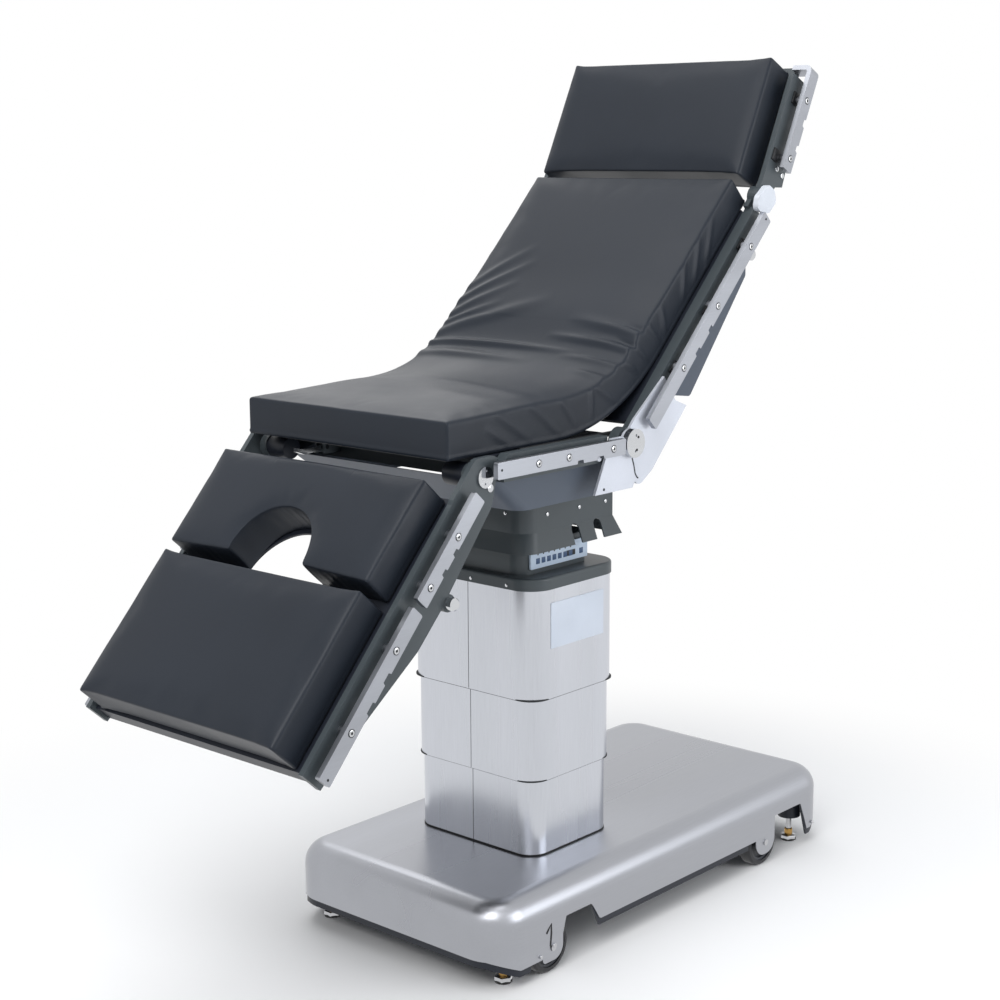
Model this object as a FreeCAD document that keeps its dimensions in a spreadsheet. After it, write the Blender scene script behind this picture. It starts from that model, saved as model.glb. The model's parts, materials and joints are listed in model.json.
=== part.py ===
import FreeCAD, Part
import math
import os
import re
import Sketcher

# Mobile operating table. Millimetres, +Z up, +X towards the head end, the floor at Z = 0.
# The origin is on the floor, under the centre of the whole table's box.

SIZES = {
    # Column axis and hinge axes: distances from the column axis and heights above the floor
    "column_x": 59.3,
    "leg_hinge_x": -378.6,
    "leg_hinge_under_rail": 10.4,
    "leg_pin_x": 10.5,
    "leg_pin_over": -18.0,
    "back_hinge_x": -3.0,
    "back_hinge_over_rail": 2.0,
    "leg_lean": 47.7,
    "back_lean": 45.3,
    "upper_lean": 64.0,
    "upper_hinge_along": 590.0,
    "upper_hinge_over": 2.0,
    "tilt_over_neck": 48.0,
    "pitch_axis_x": -14.0,
    "pitch_over_tilt": 72.0,
    # Base cover, chassis and what stands on the floor
    "base_front": 345.8,
    "base_rear": 710.4,
    "base_wide": 534.4,
    "base_top": 160.3,
    "base_corner": 70.0,
    "base_bend": 44.0,
    "base_edge": 61.0,
    "end_edge": 57.0,
    "corner_edge": 35.0,
    "cover_wall": 2.0,
    "cutout_drop": 62.3,
    "tongue_low": 25.0,
    "rim_drop": 13.0,
    "rim_wall": 4.0,
    "deck_drop": 50.3,
    "deck_wall": 6.0,
    "front_axle_in": 147.8,
    "rear_axle_in": 230.4,
    "front_tongue_wide": 56.0,
    "rear_tongue_wide": 67.0,
    "wheel_radius": 50.0,
    "tyre_band": 10.0,
    "wheel_wide": 28.0,
    "wheel_inset": 7.2,
    "axle_radius": 5.0,
    "axle_head": 6.5,
    "head_high": 2.5,
    "bracket_wall": 4.0,
    "bracket_gap": 3.0,
    "front_foot_in": 64.8,
    "rear_foot_in": 72.4,
    "foot_inset": 46.2,
    "foot_rod": 6.0,
    "foot_nut": 8.5,
    "foot_pad": 17.0,
    "pad_top": 11.0,
    "nut_top": 25.0,
    "rod_top": 92.0,
    "jack_radius": 24.0,
    "jack_low": 54.0,
    "jack_deep": 44.0,
    # Column sleeves, guides, collar and neck
    "sleeve_x": 116.6,
    "sleeve_y": 149.8,
    "sleeve_step": 4.9,
    "sleeve_wall": 2.5,
    "sleeve_corner": 38.0,
    "lower_rise": 269.7,
    "middle_lap": 123.2,
    "middle_rise": 122.0,
    "upper_lap": 88.4,
    "upper_rise": 118.0,
    "collar_high": 23.0,
    "collar_wall": 6.0,
    "collar_rim": 2.2,
    "guide_side": 60.0,
    "guide_wall": 6.0,
    "guide_gap": 0.5,
    "middle_guide_lap": 208.0,
    "ram_lap": 220.0,
    "neck_x": 100.0,
    "neck_y": 121.0,
    "neck_corner": 30.0,
    "neck_high": 59.0,
    "neck_wall": 4.0,
    "panel_left": -93.0,
    "panel_right": 70.0,
    "panel_up": 10.0,
    "panel_tall": 37.0,
    "panel_thick": 4.0,
    # Gimbal in the column head, and the skirt over it
    "ear_near": 36.0,
    "ear_far": 54.0,
    "ear_radius": 22.0,
    "tilt_pin": 15.0,
    "pin_fit": 0.05,
    "cross_half": 46.0,
    "cross_thin": 27.0,
    "cross_under": 22.0,
    "cross_over": 26.0,
    "pitch_shaft": 16.0,
    "skirt_x": 128.0,
    "skirt_y": 145.0,
    "skirt_mid_x": -5.0,
    "skirt_flare": 13.0,
    "skirt_under": 59.0,
    "flare_high": 35.0,
    "upright_high": 52.0,
    "skirt_wall": 3.0,
    "skirt_corner": 35.0,
    "skirt_rear_corner": 4.0,
    "notch_wide": 22.0,
    "notch_one_x": 6.4,
    "notch_two_x": 70.5,
    "notch_over_bend": 1.0,
    # Widths that all the sections share: distances from the middle plane
    "rail_thick": 9.5,
    "rail_high": 28.6,
    "plate_thick": 10.0,
    "beam_clear": 1.0,
    "beam_thick": 21.0,
    "rail_stand": 12.7,
    "arm_inset": 32.0,
    "arm_thick": 16.0,
    "lug_inset": 50.0,
    "lug_thick": 22.0,
    "drum_long": 45.0,
    "hull_taper": 10.0,
    "running_gap": 0.3,
    "stud_foot": 9.0,
    "stud_shank": 4.5,
    "stud_head": 7.0,
    "head_sunk": 3.0,
    "hole_fit": 0.3,
    "notch_deep": 6.0,
    # Seat section
    "hull_under_axis": 22.0,
    "hull_high": 65.0,
    "hull_front_low": -255.0,
    "hull_front_top": -343.0,
    "hull_rear": 32.0,
    "hull_wall": 4.0,
    "hull_corner": 25.0,
    "seat_beam_front": -330.0,
    "seat_beam_rear": -56.0,
    "beam_high": 46.0,
    "seat_deck_thick": 3.6,
    "cushion_sunk": 2.1,
    "seat_cushion_front": -441.0,
    "seat_rail_front": -370.0,
    "seat_rail_rear": -32.0,
    "rail_under_beam": 20.0,
    "hinge_eye": 26.0,
    "hinge_pin": 12.0,
    "back_cap": 26.0,
    "hinge_plate": 5.0,
    "lever_y": 134.0,
    # Leg section, measured from the leg hinge
    "leg_tip": 565.0,
    "leg_rail_over": -9.5,
    "leg_cushion_low": 5.1,
    "leg_cushion_start": 52.0,
    "leg_split": 260.0,
    "cushion_gap": 7.0,
    "leg_cushion_end": 558.6,
    "leg_deck_thick": 4.5,
    "drum_radius": 20.0,
    "cutout_radius": 95.0,
    "cutout_centre": 259.0,
    "cushion_thick": 68.0,
    "cushion_half": 250.0,
    "leg_cap": 18.0,
    "leg_cap_thick": 4.0,
    # Back section, measured from the back hinge
    "back_tip_in": 34.0,
    "back_rail_over": -15.0,
    "back_beam_low": -30.0,
    "back_beam_top": 5.0,
    "back_deck_low": -6.0,
    "back_cushion_low": 2.0,
    "back_cushion_in": 8.0,
    "fold_slope": 0.86,
    "housing_start": 164.0,
    "housing_in": 99.0,
    "housing_wall": 4.0,
    "upper_eye": 20.0,
    # Upper section, measured from the upper hinge
    "upper_rail_over": -24.0,
    "upper_rail_start": 66.0,
    "upper_rail_end": 280.0,
    "upper_cushion_low": -14.5,
    "upper_cushion_start": 20.0,
    "upper_cushion_end": 268.0,
    "upper_deck_thick": 6.0,
    "upper_plate_end": 252.0,
    "knob_radius": 11.0,
    "knob_pin": 4.0,
    "leg_knob_x": -193.0,
    "leg_knob_over": -84.0,
    "back_knob_in": 100.0,
    "back_knob_over": -50.0,
    "knob_long": 16.0,
}

DERIVED = {
    # Along and across the base, from its ends and sides
    "front_axle_x": "front_axle_in - base_front",
    "rear_axle_x": "base_rear - rear_axle_in",
    "front_foot_x": "front_foot_in - base_front",
    "rear_foot_x": "base_rear - rear_foot_in",
    "foot_y": "base_wide / 2 - foot_inset",
    "wheel_out": "base_wide / 2 - wheel_inset",
    "cutout_top": "base_top - cutout_drop",
    "deck_top": "base_top - deck_drop",
    # Levels of the column, each from the one below it
    "lower_top": "base_top + lower_rise",
    "middle_low": "lower_top - middle_lap",
    "middle_guide_low": "lower_top - middle_guide_lap",
    "middle_top": "lower_top + middle_rise",
    "upper_low": "middle_top - upper_lap",
    "ram_low": "middle_top - ram_lap",
    "collar_low": "middle_top + upper_rise",
    "collar_top": "collar_low + collar_high",
    "neck_top": "collar_top + neck_high",
    "panel_low": "collar_top + panel_up",
    "panel_high": "panel_low + panel_tall",
    "tilt_axis_z": "neck_top + tilt_over_neck",
    "pitch_axis_z": "tilt_axis_z + pitch_over_tilt",
    "cross_low": "tilt_axis_z - cross_under",
    "cross_top": "pitch_axis_z + cross_over",
    "skirt_low": "tilt_axis_z - skirt_under",
    "skirt_bend": "skirt_low + flare_high",
    "skirt_top": "skirt_bend + upright_high",
    "notch_top": "skirt_bend + notch_over_bend",
    "seat_hull_low": "pitch_axis_z - hull_under_axis",
    "seat_hull_top": "seat_hull_low + hull_high",
    "seat_beam_top": "seat_hull_top + beam_high",
    "seat_cushion_low": "seat_beam_top - cushion_sunk",
    "seat_rail_z": "seat_beam_top - rail_under_beam",
    "leg_hinge_z": "seat_rail_z - leg_hinge_under_rail",
    "back_hinge_z": "seat_rail_z + back_hinge_over_rail",
    # Distances from the middle plane, from the cushions outwards and inwards
    "deck_out": "cushion_half",
    "hull_half_top": "cushion_half",
    "hull_half_low": "cushion_half - hull_taper",
    "beam_in": "cushion_half + beam_clear",
    "frame_out": "beam_in + beam_thick",
    "rail_in": "frame_out + rail_stand",
    "rail_out": "rail_in + rail_thick",
    "plate_in": "frame_out - plate_thick",
    "arm_in": "frame_out - arm_inset",
    "arm_out": "arm_in + arm_thick",
    "lug_out": "frame_out - lug_inset",
    "lug_in": "lug_out - lug_thick",
    "drum_in": "arm_in - drum_long",
    # Where the leg section's own origin lies, and what keeps its distance from the upper hinge
    "leg_origin_x": "leg_hinge_x - leg_pin_x * cos(leg_lean * 1 deg) + leg_pin_over * sin(leg_lean * 1 deg)",
    "leg_origin_z": "leg_hinge_z - leg_pin_x * sin(leg_lean * 1 deg) - leg_pin_over * cos(leg_lean * 1 deg)",
    "back_tip": "upper_hinge_along - back_tip_in",
    "back_cushion_end": "upper_hinge_along - back_cushion_in",
    "housing_end": "upper_hinge_along - housing_in",
    "back_knob_x": "upper_hinge_along - back_knob_in",
    "upper_hinge_x": "back_hinge_x + upper_hinge_along * cos(back_lean * 1 deg)"
                     " - upper_hinge_over * sin(back_lean * 1 deg)",
    "upper_hinge_z": "back_hinge_z + upper_hinge_along * sin(back_lean * 1 deg)"
                     " + upper_hinge_over * cos(back_lean * 1 deg)",
    "middle_x": "sleeve_x + sleeve_step",
    "middle_y": "sleeve_y + sleeve_step",
    "upper_x": "middle_x + sleeve_step",
    "upper_y": "middle_y + sleeve_step",
    "collar_under": "collar_top - collar_wall",
    "middle_guide_side": "guide_side - guide_wall - guide_gap",
    "ram_side": "middle_guide_side - guide_wall - guide_gap",
    "pin_bore": "hinge_pin + pin_fit",
    "back_plate_in": "frame_out + running_gap",
    "seat_plate_in": "back_plate_in + hinge_plate + running_gap",
}

doc = FreeCAD.newDocument("operating_table")
sheet = doc.addObject("Spreadsheet::Sheet", "Sizes")
WORDS = list(SIZES) + list(DERIVED)
NAMES = re.compile(r"\b(" + "|".join(sorted(WORDS, key=len, reverse=True)) + r")\b")
NODES = []
# For each origin plane: its normal, and the coordinates that its sketch axes follow
NORMAL = {"XY_Plane": "z", "XZ_Plane": "y", "YZ_Plane": "x"}
ACROSS = {"XY_Plane": "xy", "XZ_Plane": "xz", "YZ_Plane": "yz"}


def fill_sheet():
    """Driving sizes as plain numbers, and the sizes that follow from them as formulas."""
    for row, word in enumerate(WORDS, 1):
        sheet.set(f"A{row}", word)
        value = f"{SIZES[word]:g}" if word in SIZES else "=" + DERIVED[word]
        sheet.set(f"B{row}", value)
        sheet.setAlias(f"B{row}", word)
        if word in DERIVED:
            doc.recompute()
    doc.recompute()


def bound(expression):
    """The expression with each size pointing at its cell."""
    return NAMES.sub(r"Sizes.\1", expression)


def num(expression):
    """The expression's value now."""
    return float(sheet.evalExpression(bound(expression)))


def bind(thing, prop, expression):
    thing.setExpression(prop, bound(expression))


def new_body(name):
    """An empty body; it becomes the sub-part of that name."""
    body = doc.addObject("PartDesign::Body", name)
    body.Label = name
    body.AllowCompound = True
    NODES.append(body)
    return body


def plane_of(body, role):
    return next(o for o in body.Origin.OriginFeatures if o.Role == role)


def new_sketch(body, role, offset):
    """An empty sketch parallel to one of the body's origin planes, offset along its normal."""
    sketch = body.newObject("Sketcher::SketchObject", body.Name + "_sketch")
    sketch.AttachmentSupport = (plane_of(body, role), [""])
    sketch.MapMode = "FlatFace"
    bind(sketch, "AttachmentOffset.Base.z", offset)
    return sketch


def pin_point(sketch, geometry, point, across, up):
    """Ties one point of the sketch to two expressions."""
    for kind, expression in (("DistanceX", across), ("DistanceY", up)):
        value = num(expression)
        constraint = Sketcher.Constraint(kind, -1, 1, geometry, point, value)
        index = sketch.addConstraint(constraint)
        bind(sketch, f"Constraints[{index}]", expression)


def draw_outline(sketch, points):
    """Adds a closed outline of straight lines through points, each a pair of expressions."""
    start = sketch.GeometryCount
    places = [FreeCAD.Vector(num(a), num(b), 0) for a, b in points]
    count = len(places)
    for i in range(count):
        line = Part.LineSegment(places[i], places[(i + 1) % count])
        sketch.addGeometry(line, False)
    for i in range(count):
        following = start + (i + 1) % count
        sketch.addConstraint(Sketcher.Constraint("Coincident", start + i, 2, following, 1))
    for i, (a, b) in enumerate(points):
        pin_point(sketch, start + i, 1, a, b)


def outline(body, role, points, offset="0"):
    sketch = new_sketch(body, role, offset)
    draw_outline(sketch, points)
    return sketch


def discs(body, role, centres, radius, offset="0"):
    """A sketch of equal circles."""
    sketch = new_sketch(body, role, offset)
    for a, b in centres:
        place = FreeCAD.Vector(num(a), num(b), 0)
        circle = Part.Circle(place, FreeCAD.Vector(0, 0, 1), num(radius))
        index = sketch.addGeometry(circle, False)
        pin_point(sketch, index, 3, a, b)
        size = sketch.addConstraint(Sketcher.Constraint("Radius", index, num(radius)))
        bind(sketch, f"Constraints[{size}]", radius)
    return sketch


def draw_rounded(sketch, box, radius, far_radius=None):
    """Adds a rectangle with round corners; box is its two limits across and its two limits up."""
    a0, a1, b0, b1 = box
    start = sketch.GeometryCount
    near_far = {1: radius, -1: far_radius or radius}
    corners = [
        ((a0, b0), (1, 1), 180),
        ((a1, b0), (-1, 1), 270),
        ((a1, b1), (-1, -1), 0),
        ((a0, b1), (1, -1), 90),
    ]
    spots = []
    for (a, b), (da, db), first in corners:
        size = near_far[da]
        centre = (f"{a} + {da} * ({size})", f"{b} + {db} * ({size})")
        middle = FreeCAD.Vector(num(centre[0]), num(centre[1]), 0)
        circle = Part.Circle(middle, FreeCAD.Vector(0, 0, 1), num(size))
        angles = math.radians(first), math.radians(first + 90)
        sketch.addGeometry(Part.ArcOfCircle(circle, *angles), False)
        beside, below = (a, centre[1]), (centre[0], b)
        spots.append((centre, beside, below) if first in (180, 0) else (centre, below, beside))
    for i in range(4):
        leave, reach = spots[i][2], spots[(i + 1) % 4][1]
        ends = [FreeCAD.Vector(num(a), num(b), 0) for a, b in (leave, reach)]
        sketch.addGeometry(Part.LineSegment(*ends), False)
    for i, (centre, first, last) in enumerate(spots):
        pin_point(sketch, start + i, 1, *first)
        pin_point(sketch, start + i, 2, *last)
        index = sketch.addConstraint(Sketcher.Constraint("DistanceX", -1, 1, start + i, 3, num(centre[0])))
        bind(sketch, f"Constraints[{index}]", centre[0])
        line, following = start + 4 + i, start + (i + 1) % 4
        sketch.addConstraint(Sketcher.Constraint("Coincident", line, 1, start + i, 2))
        sketch.addConstraint(Sketcher.Constraint("Coincident", line, 2, following, 1))


def rounded(body, role, box, radius, offset="0", far_radius=None):
    sketch = new_sketch(body, role, offset)
    draw_rounded(sketch, box, radius, far_radius)
    return sketch


def both_ways(half_a, half_b):
    """The limits of a rectangle about the origin."""
    return f"-({half_a})", half_a, f"-({half_b})", half_b


def box_points(a0, a1, b0, b1):
    return [(a0, b0), (a1, b0), (a1, b1), (a0, b1)]


def pad(body, sketch, length, middle=False):
    """Adds the sketch's shape, along its normal or to both sides."""
    feature = body.newObject("PartDesign::Pad", body.Name + "_pad")
    feature.Profile = sketch
    feature.Midplane = middle
    bind(feature, "Length", length)
    body.Tip = feature
    return feature


def pocket(body, sketch, depth=None, along=False):
    """Cuts the sketch's shape: right through, or to a depth against its normal or along it."""
    before = body.Tip
    doc.recompute()
    feature = body.newObject("PartDesign::Pocket", body.Name + "_pocket")
    feature.Profile = sketch
    if depth is None:
        feature.Type = "ThroughAll"
        feature.Midplane = True
    else:
        feature.Reversed = along
        bind(feature, "Length", depth)
    body.Tip = feature
    doc.recompute()
    if feature.Shape.Volume >= before.Shape.Volume - 1e-6:
        raise ValueError(f"{feature.Name} of {body.Label} cuts nothing")
    return feature


def fillet(body, radius, names):
    if not names:
        raise ValueError(f"no edge to round on {body.Label}")
    base = body.Tip
    feature = body.newObject("PartDesign::Fillet", body.Name + "_round")
    feature.Base = (base, names)
    bind(feature, "Radius", radius)
    body.Tip = feature
    doc.recompute()
    if "Invalid" in feature.State or feature.Shape.isNull():
        raise ValueError(f"rounding {feature.Name} of {body.Label} failed")
    return feature


def round_corners(body, role, radius, corners):
    """Rounds the straight edges along a plane's normal that pass through the named points."""
    doc.recompute()
    normal, (a, b) = NORMAL[role], ACROSS[role]
    places = [(num(p), num(q)) for p, q in corners]
    names = []
    for i, edge in enumerate(body.Tip.Shape.Edges, 1):
        if edge.Curve.TypeId != "Part::GeomLine":
            continue
        if abs(getattr(edge.tangentAt(edge.FirstParameter), normal)) < 0.999:
            continue
        point = edge.Vertexes[0].Point
        if any(math.hypot(getattr(point, a) - p, getattr(point, b) - q) < 0.01 for p, q in places):
            names.append(f"Edge{i}")
    return fillet(body, radius, names)


def rim_edges(body, level, axis):
    """Names of the edges that lie wholly at one level of an axis, X, Y or Z."""
    doc.recompute()
    at = num(level)
    names = []
    for i, edge in enumerate(body.Tip.Shape.Edges, 1):
        box = edge.BoundBox
        if all(abs(getattr(box, axis + end) - at) < 0.01 for end in ("Min", "Max")):
            names.append(f"Edge{i}")
    return names


def round_rim(body, radius, level, axis="Z"):
    return fillet(body, radius, rim_edges(body, level, axis))


def bevel_rim(body, size, level, axis="Z"):
    """Cuts a rim's edge off at 45 degrees."""
    names = rim_edges(body, level, axis)
    if not names:
        raise ValueError(f"no edge to bevel on {body.Label}")
    base = body.Tip
    feature = body.newObject("PartDesign::Chamfer", body.Name + "_bevel")
    feature.Base = (base, names)
    bind(feature, "Size", size)
    body.Tip = feature
    doc.recompute()
    return feature


def hollow(body, wall, faces):
    """Turns the body into a shell of that wall, open at the faces that pass the test."""
    doc.recompute()
    base = body.Tip
    names = [f"Face{i}" for i, f in enumerate(base.Shape.Faces, 1) if faces(f)]
    feature = body.newObject("PartDesign::Thickness", body.Name + "_wall")
    feature.Base = (base, names)
    feature.Mode = "Skin"
    feature.Join = "Intersection"
    feature.Reversed = True
    bind(feature, "Value", wall)
    body.Tip = feature
    doc.recompute()
    return feature


def twin(body, role="XZ_Plane"):
    """Adds the mirror image, so that the sub-part has one piece on each side."""
    doc.recompute()
    feature = body.newObject("PartDesign::Mirrored", body.Name + "_twin")
    feature.TransformMode = "Whole shape"
    feature.MirrorPlane = (plane_of(body, role), [""])
    body.Tip = feature
    doc.recompute()
    return feature


def place(body, x="0", z="0", lean=None):
    """Puts a body modelled about its own hinge at that hinge; lean turns its +X end upwards."""
    turn = "rotation(vector(0; -1; 0); " + (lean or "0") + ")"
    bind(body, "Placement", f"placement(vector(column_x + {x}; 0; {z}); {turn})")
    return body


def at_leg(body):
    return place(body, "leg_origin_x", "leg_origin_z", "leg_lean")


def at_back(body):
    return place(body, "back_hinge_x", "back_hinge_z", "back_lean")


def at_upper(body):
    return place(body, "upper_hinge_x", "upper_hinge_z", "upper_lean")


def lower_edge(drop, front_wheel, rear_wheel):
    """Side outline of all that is cut away below the cover's edge, from end to end."""
    far = "60"
    wheel_one, wheel_two = front_wheel, rear_wheel
    return [
        (f"-(base_front + {far})", "-20"),
        (f"-(base_front + {far})", f"end_edge - {drop}"),
        ("-(base_front - 8)", f"end_edge - {drop}"),
        ("-(base_front - 60)", f"corner_edge - {drop}"),
        *wheel_one,
        ("front_axle_x + 110", "cutout_top"),
        ("front_axle_x + 134", f"base_edge - {drop}"),
        *wheel_two,
        ("rear_axle_x + 132", "cutout_top"),
        ("rear_axle_x + 157", f"corner_edge - {drop}"),
        ("base_rear - 60", f"corner_edge - {drop}"),
        ("base_rear - 8", f"end_edge - {drop}"),
        (f"base_rear + {far}", f"end_edge - {drop}"),
        (f"base_rear + {far}", "-20"),
    ]


def tongue(axle, wide, left_edge, right_edge):
    """A rounded tongue that hangs beside the wheel, and its two lower corners."""
    left = f"{axle} - {wide} / 2"
    right = f"{axle} + {wide} / 2"
    points = [(left, left_edge), (left, "tongue_low"), (right, "tongue_low"), (right, right_edge)]
    return points, [(left, "tongue_low"), (right, "tongue_low")]


def base_block(body, inset, low, high):
    """The base's plan, rounded at its four corners and padded between two levels."""
    front, rear = f"-base_front + {inset}", f"base_rear - ({inset})"
    side = f"base_wide / 2 - ({inset})"
    plan = (front, rear, f"-({side})", side)
    pad(body, rounded(body, "XY_Plane", plan, f"base_corner - ({inset})", low), f"{high} - ({low})")


def base_cover():
    """Pressed steel cover: rounded top edge, open below, a tongue beside each wheel."""
    body = new_body("base_cover")
    base_block(body, "0", "tongue_low - 5", "base_top")
    round_rim(body, "base_bend", "base_top")
    hollow(body, "cover_wall", lambda f: abs(f.BoundBox.ZMax - num("tongue_low - 5")) < 0.01)
    front, front_round = tongue("front_axle_x", "front_tongue_wide", "corner_edge", "wheel_radius + 18")
    front.append(("front_axle_x + front_tongue_wide / 2 + 9", "cutout_top"))
    rear, rear_round = tongue("rear_axle_x", "rear_tongue_wide", "base_edge", "cutout_top")
    edge = outline(body, "XZ_Plane", lower_edge("0", front, rear))
    pocket(body, edge)
    round_corners(body, "XZ_Plane", "(corner_edge - tongue_low) * 0.8", front_round[:1])
    round_corners(body, "XZ_Plane", "front_tongue_wide * 0.45", front_round[1:])
    round_corners(body, "XZ_Plane", "rear_tongue_wide / 2 - 4", rear_round)
    bends = [("front_axle_x + 110", "cutout_top"), ("front_axle_x + 134", "base_edge"), ("rear_axle_x + 132", "cutout_top")]
    round_corners(body, "XZ_Plane", "10", bends)
    axles = [("front_axle_x", "wheel_radius"), ("rear_axle_x", "wheel_radius")]
    pocket(body, discs(body, "XZ_Plane", axles, "axle_radius + hole_fit"))
    hole = box_points("-guide_side - 2", "guide_side + 2", "-guide_side - 2", "guide_side + 2")
    pocket(body, outline(body, "XY_Plane", hole, "base_top + 1"), "30")
    return place(body)


def base_chassis():
    """Dark chassis: a deck plate, a skirting whose rim shows below the cover, and four jacks."""
    body = new_body("base_chassis")
    base_block(body, "cover_wall + running_gap", "0", "deck_top")
    inset = "(cover_wall + running_gap + rim_wall)"
    side = f"base_wide / 2 - {inset}"
    plan = (f"-base_front + {inset}", f"base_rear - {inset}", f"-({side})", side)
    inside = rounded(body, "XY_Plane", plan, f"base_corner - {inset}")
    pocket(body, inside, "deck_top - deck_wall", along=True)
    front = [("front_axle_x - wheel_radius - 8", "corner_edge - rim_drop"),
             ("front_axle_x - wheel_radius - 8", "cutout_top")]
    rear = [("rear_axle_x - wheel_radius - 8", "base_edge - rim_drop"),
            ("rear_axle_x - wheel_radius - 8", "cutout_top")]
    pocket(body, outline(body, "XZ_Plane", lower_edge("rim_drop", front, rear)))
    ribs = new_sketch(body, "XY_Plane", "deck_top - deck_wall - 44")
    for near in ("70", "-110"):
        draw_outline(ribs, box_points("-base_front + 20", "base_rear - 20", near, f"{near} + 40"))
    pad(body, ribs, "44")
    spots = [(x, y) for x in ("front_foot_x", "rear_foot_x") for y in ("foot_y", "-foot_y")]
    jack = discs(body, "XY_Plane", spots, "jack_radius", "jack_low")
    pad(body, jack, "deck_top - deck_wall - jack_low")
    bore = discs(body, "XY_Plane", spots, "foot_rod + pin_fit", "jack_low")
    pocket(body, bore, "jack_deep", along=True)
    return place(body)


def wheel_brackets():
    """Four brackets that hold the wheels' inner axle ends, each a plate under a web."""
    body = new_body("wheel_brackets")
    web = "deck_top - deck_wall"
    inner = "wheel_out - wheel_wide - bracket_gap - bracket_wall"
    plate = new_sketch(body, "XZ_Plane", inner)
    for axle in ("front_axle_x", "rear_axle_x"):
        wide = "rear_tongue_wide / 2 - 8"
        points = [(f"{axle} - {wide}", web), (f"{axle} - 14", "wheel_radius - 16"),
                  (f"{axle} + 14", "wheel_radius - 16"), (f"{axle} + {wide}", web)]
        draw_outline(plate, points)
    pad(body, plate, "bracket_wall")
    top = new_sketch(body, "XZ_Plane", inner)
    for axle in ("front_axle_x", "rear_axle_x"):
        wide = "rear_tongue_wide / 2 - 8"
        draw_outline(top, box_points(f"{axle} - {wide}", f"{axle} + {wide}", f"{web} - 1.5", web))
    pad(body, top, "wheel_wide + bracket_gap + bracket_wall")
    axles = [("front_axle_x", "wheel_radius"), ("rear_axle_x", "wheel_radius")]
    pocket(body, discs(body, "XZ_Plane", axles, "axle_radius + hole_fit"))
    twin(body)
    return place(body)


def wheel_axles():
    """Four axle bolts, each through a bracket and the tongue of the cover, with a head outside."""
    body = new_body("wheel_axles")
    inner = "wheel_out - wheel_wide - bracket_gap - bracket_wall"
    axles = [("front_axle_x", "wheel_radius"), ("rear_axle_x", "wheel_radius")]
    pad(body, discs(body, "XZ_Plane", axles, "axle_radius", inner), f"base_wide / 2 - ({inner})")
    pad(body, discs(body, "XZ_Plane", axles, "axle_head", f"{inner} - 5"), "5")
    pad(body, discs(body, "XZ_Plane", axles, "axle_head", "base_wide / 2"), "head_high")
    twin(body)
    return place(body)


def wheel(name, axle, side):
    """One wheel: a tyre round a dished hub. side is 1 on the right of the table, -1 on the left."""
    near = "wheel_out - wheel_wide"
    start = near if side < 0 else "-wheel_out"
    tyre = new_body(f"{name}_tyre")
    centre = [(axle, "wheel_radius")]
    pad(tyre, discs(tyre, "XZ_Plane", centre, "wheel_radius", start), "wheel_wide")
    edge = f"{start} + wheel_wide"
    for level in (start, edge):
        bevel_rim(tyre, "3.5", f"-({level})", "Y")
    pocket(tyre, discs(tyre, "XZ_Plane", centre, "wheel_radius - tyre_band"))
    hub = new_body(f"{name}_hub")
    pad(hub, discs(hub, "XZ_Plane", centre, "wheel_radius - tyre_band - pin_fit", f"{start} + 3"), "wheel_wide - 6")
    face = discs(hub, "XZ_Plane", centre, "wheel_radius - tyre_band - 5", f"{start} + wheel_wide - 3")
    pocket(hub, face, "6")
    back = discs(hub, "XZ_Plane", centre, "wheel_radius - tyre_band - 5", f"{start} + 3")
    pocket(hub, back, "6", along=True)
    pad(hub, discs(hub, "XZ_Plane", centre, "14", f"{start} - 2"), "wheel_wide + 4")
    pocket(hub, discs(hub, "XZ_Plane", centre, "axle_radius + pin_fit"))
    place(tyre)
    place(hub)


def jack_foot(name, x, y):
    """One foot: rod, brass nut and hexagonal pad in a row on one axis."""
    body = new_body(name)
    half = "foot_pad * sin(30 * 1 deg)"
    tall = "foot_pad * cos(30 * 1 deg)"
    hexagon = [(f"{x} + foot_pad", y), (f"{x} + {half}", f"{y} + {tall}"),
               (f"{x} - {half}", f"{y} + {tall}"), (f"{x} - foot_pad", y),
               (f"{x} - {half}", f"{y} - {tall}"), (f"{x} + {half}", f"{y} - {tall}")]
    pad(body, outline(body, "XY_Plane", hexagon), "pad_top")
    pad(body, discs(body, "XY_Plane", [(x, y)], "foot_nut", "pad_top"), "nut_top - pad_top")
    pad(body, discs(body, "XY_Plane", [(x, y)], "foot_rod", "nut_top"), "rod_top - nut_top - 12")
    return place(body)


def sleeve(name, half_x, half_y, corner, low, high):
    """One telescopic cover: a rounded rectangular tube."""
    body = new_body(name)
    plan = new_sketch(body, "XY_Plane", low)
    draw_rounded(plan, both_ways(half_x, half_y), corner)
    inner = both_ways(f"{half_x} - sleeve_wall", f"{half_y} - sleeve_wall")
    draw_rounded(plan, inner, f"{corner} - sleeve_wall")
    pad(body, plan, f"{high} - {low}")
    return place(body)


def square_tube(body, half, wall, low, high):
    outer = box_points(f"-({half})", half, f"-({half})", half)
    inner_half = f"{half} - {wall}"
    inner = box_points(f"-({inner_half})", inner_half, f"-({inner_half})", inner_half)
    sketch = new_sketch(body, "XY_Plane", low)
    draw_outline(sketch, outer)
    draw_outline(sketch, inner)
    pad(body, sketch, f"{high} - {low}")


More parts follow.
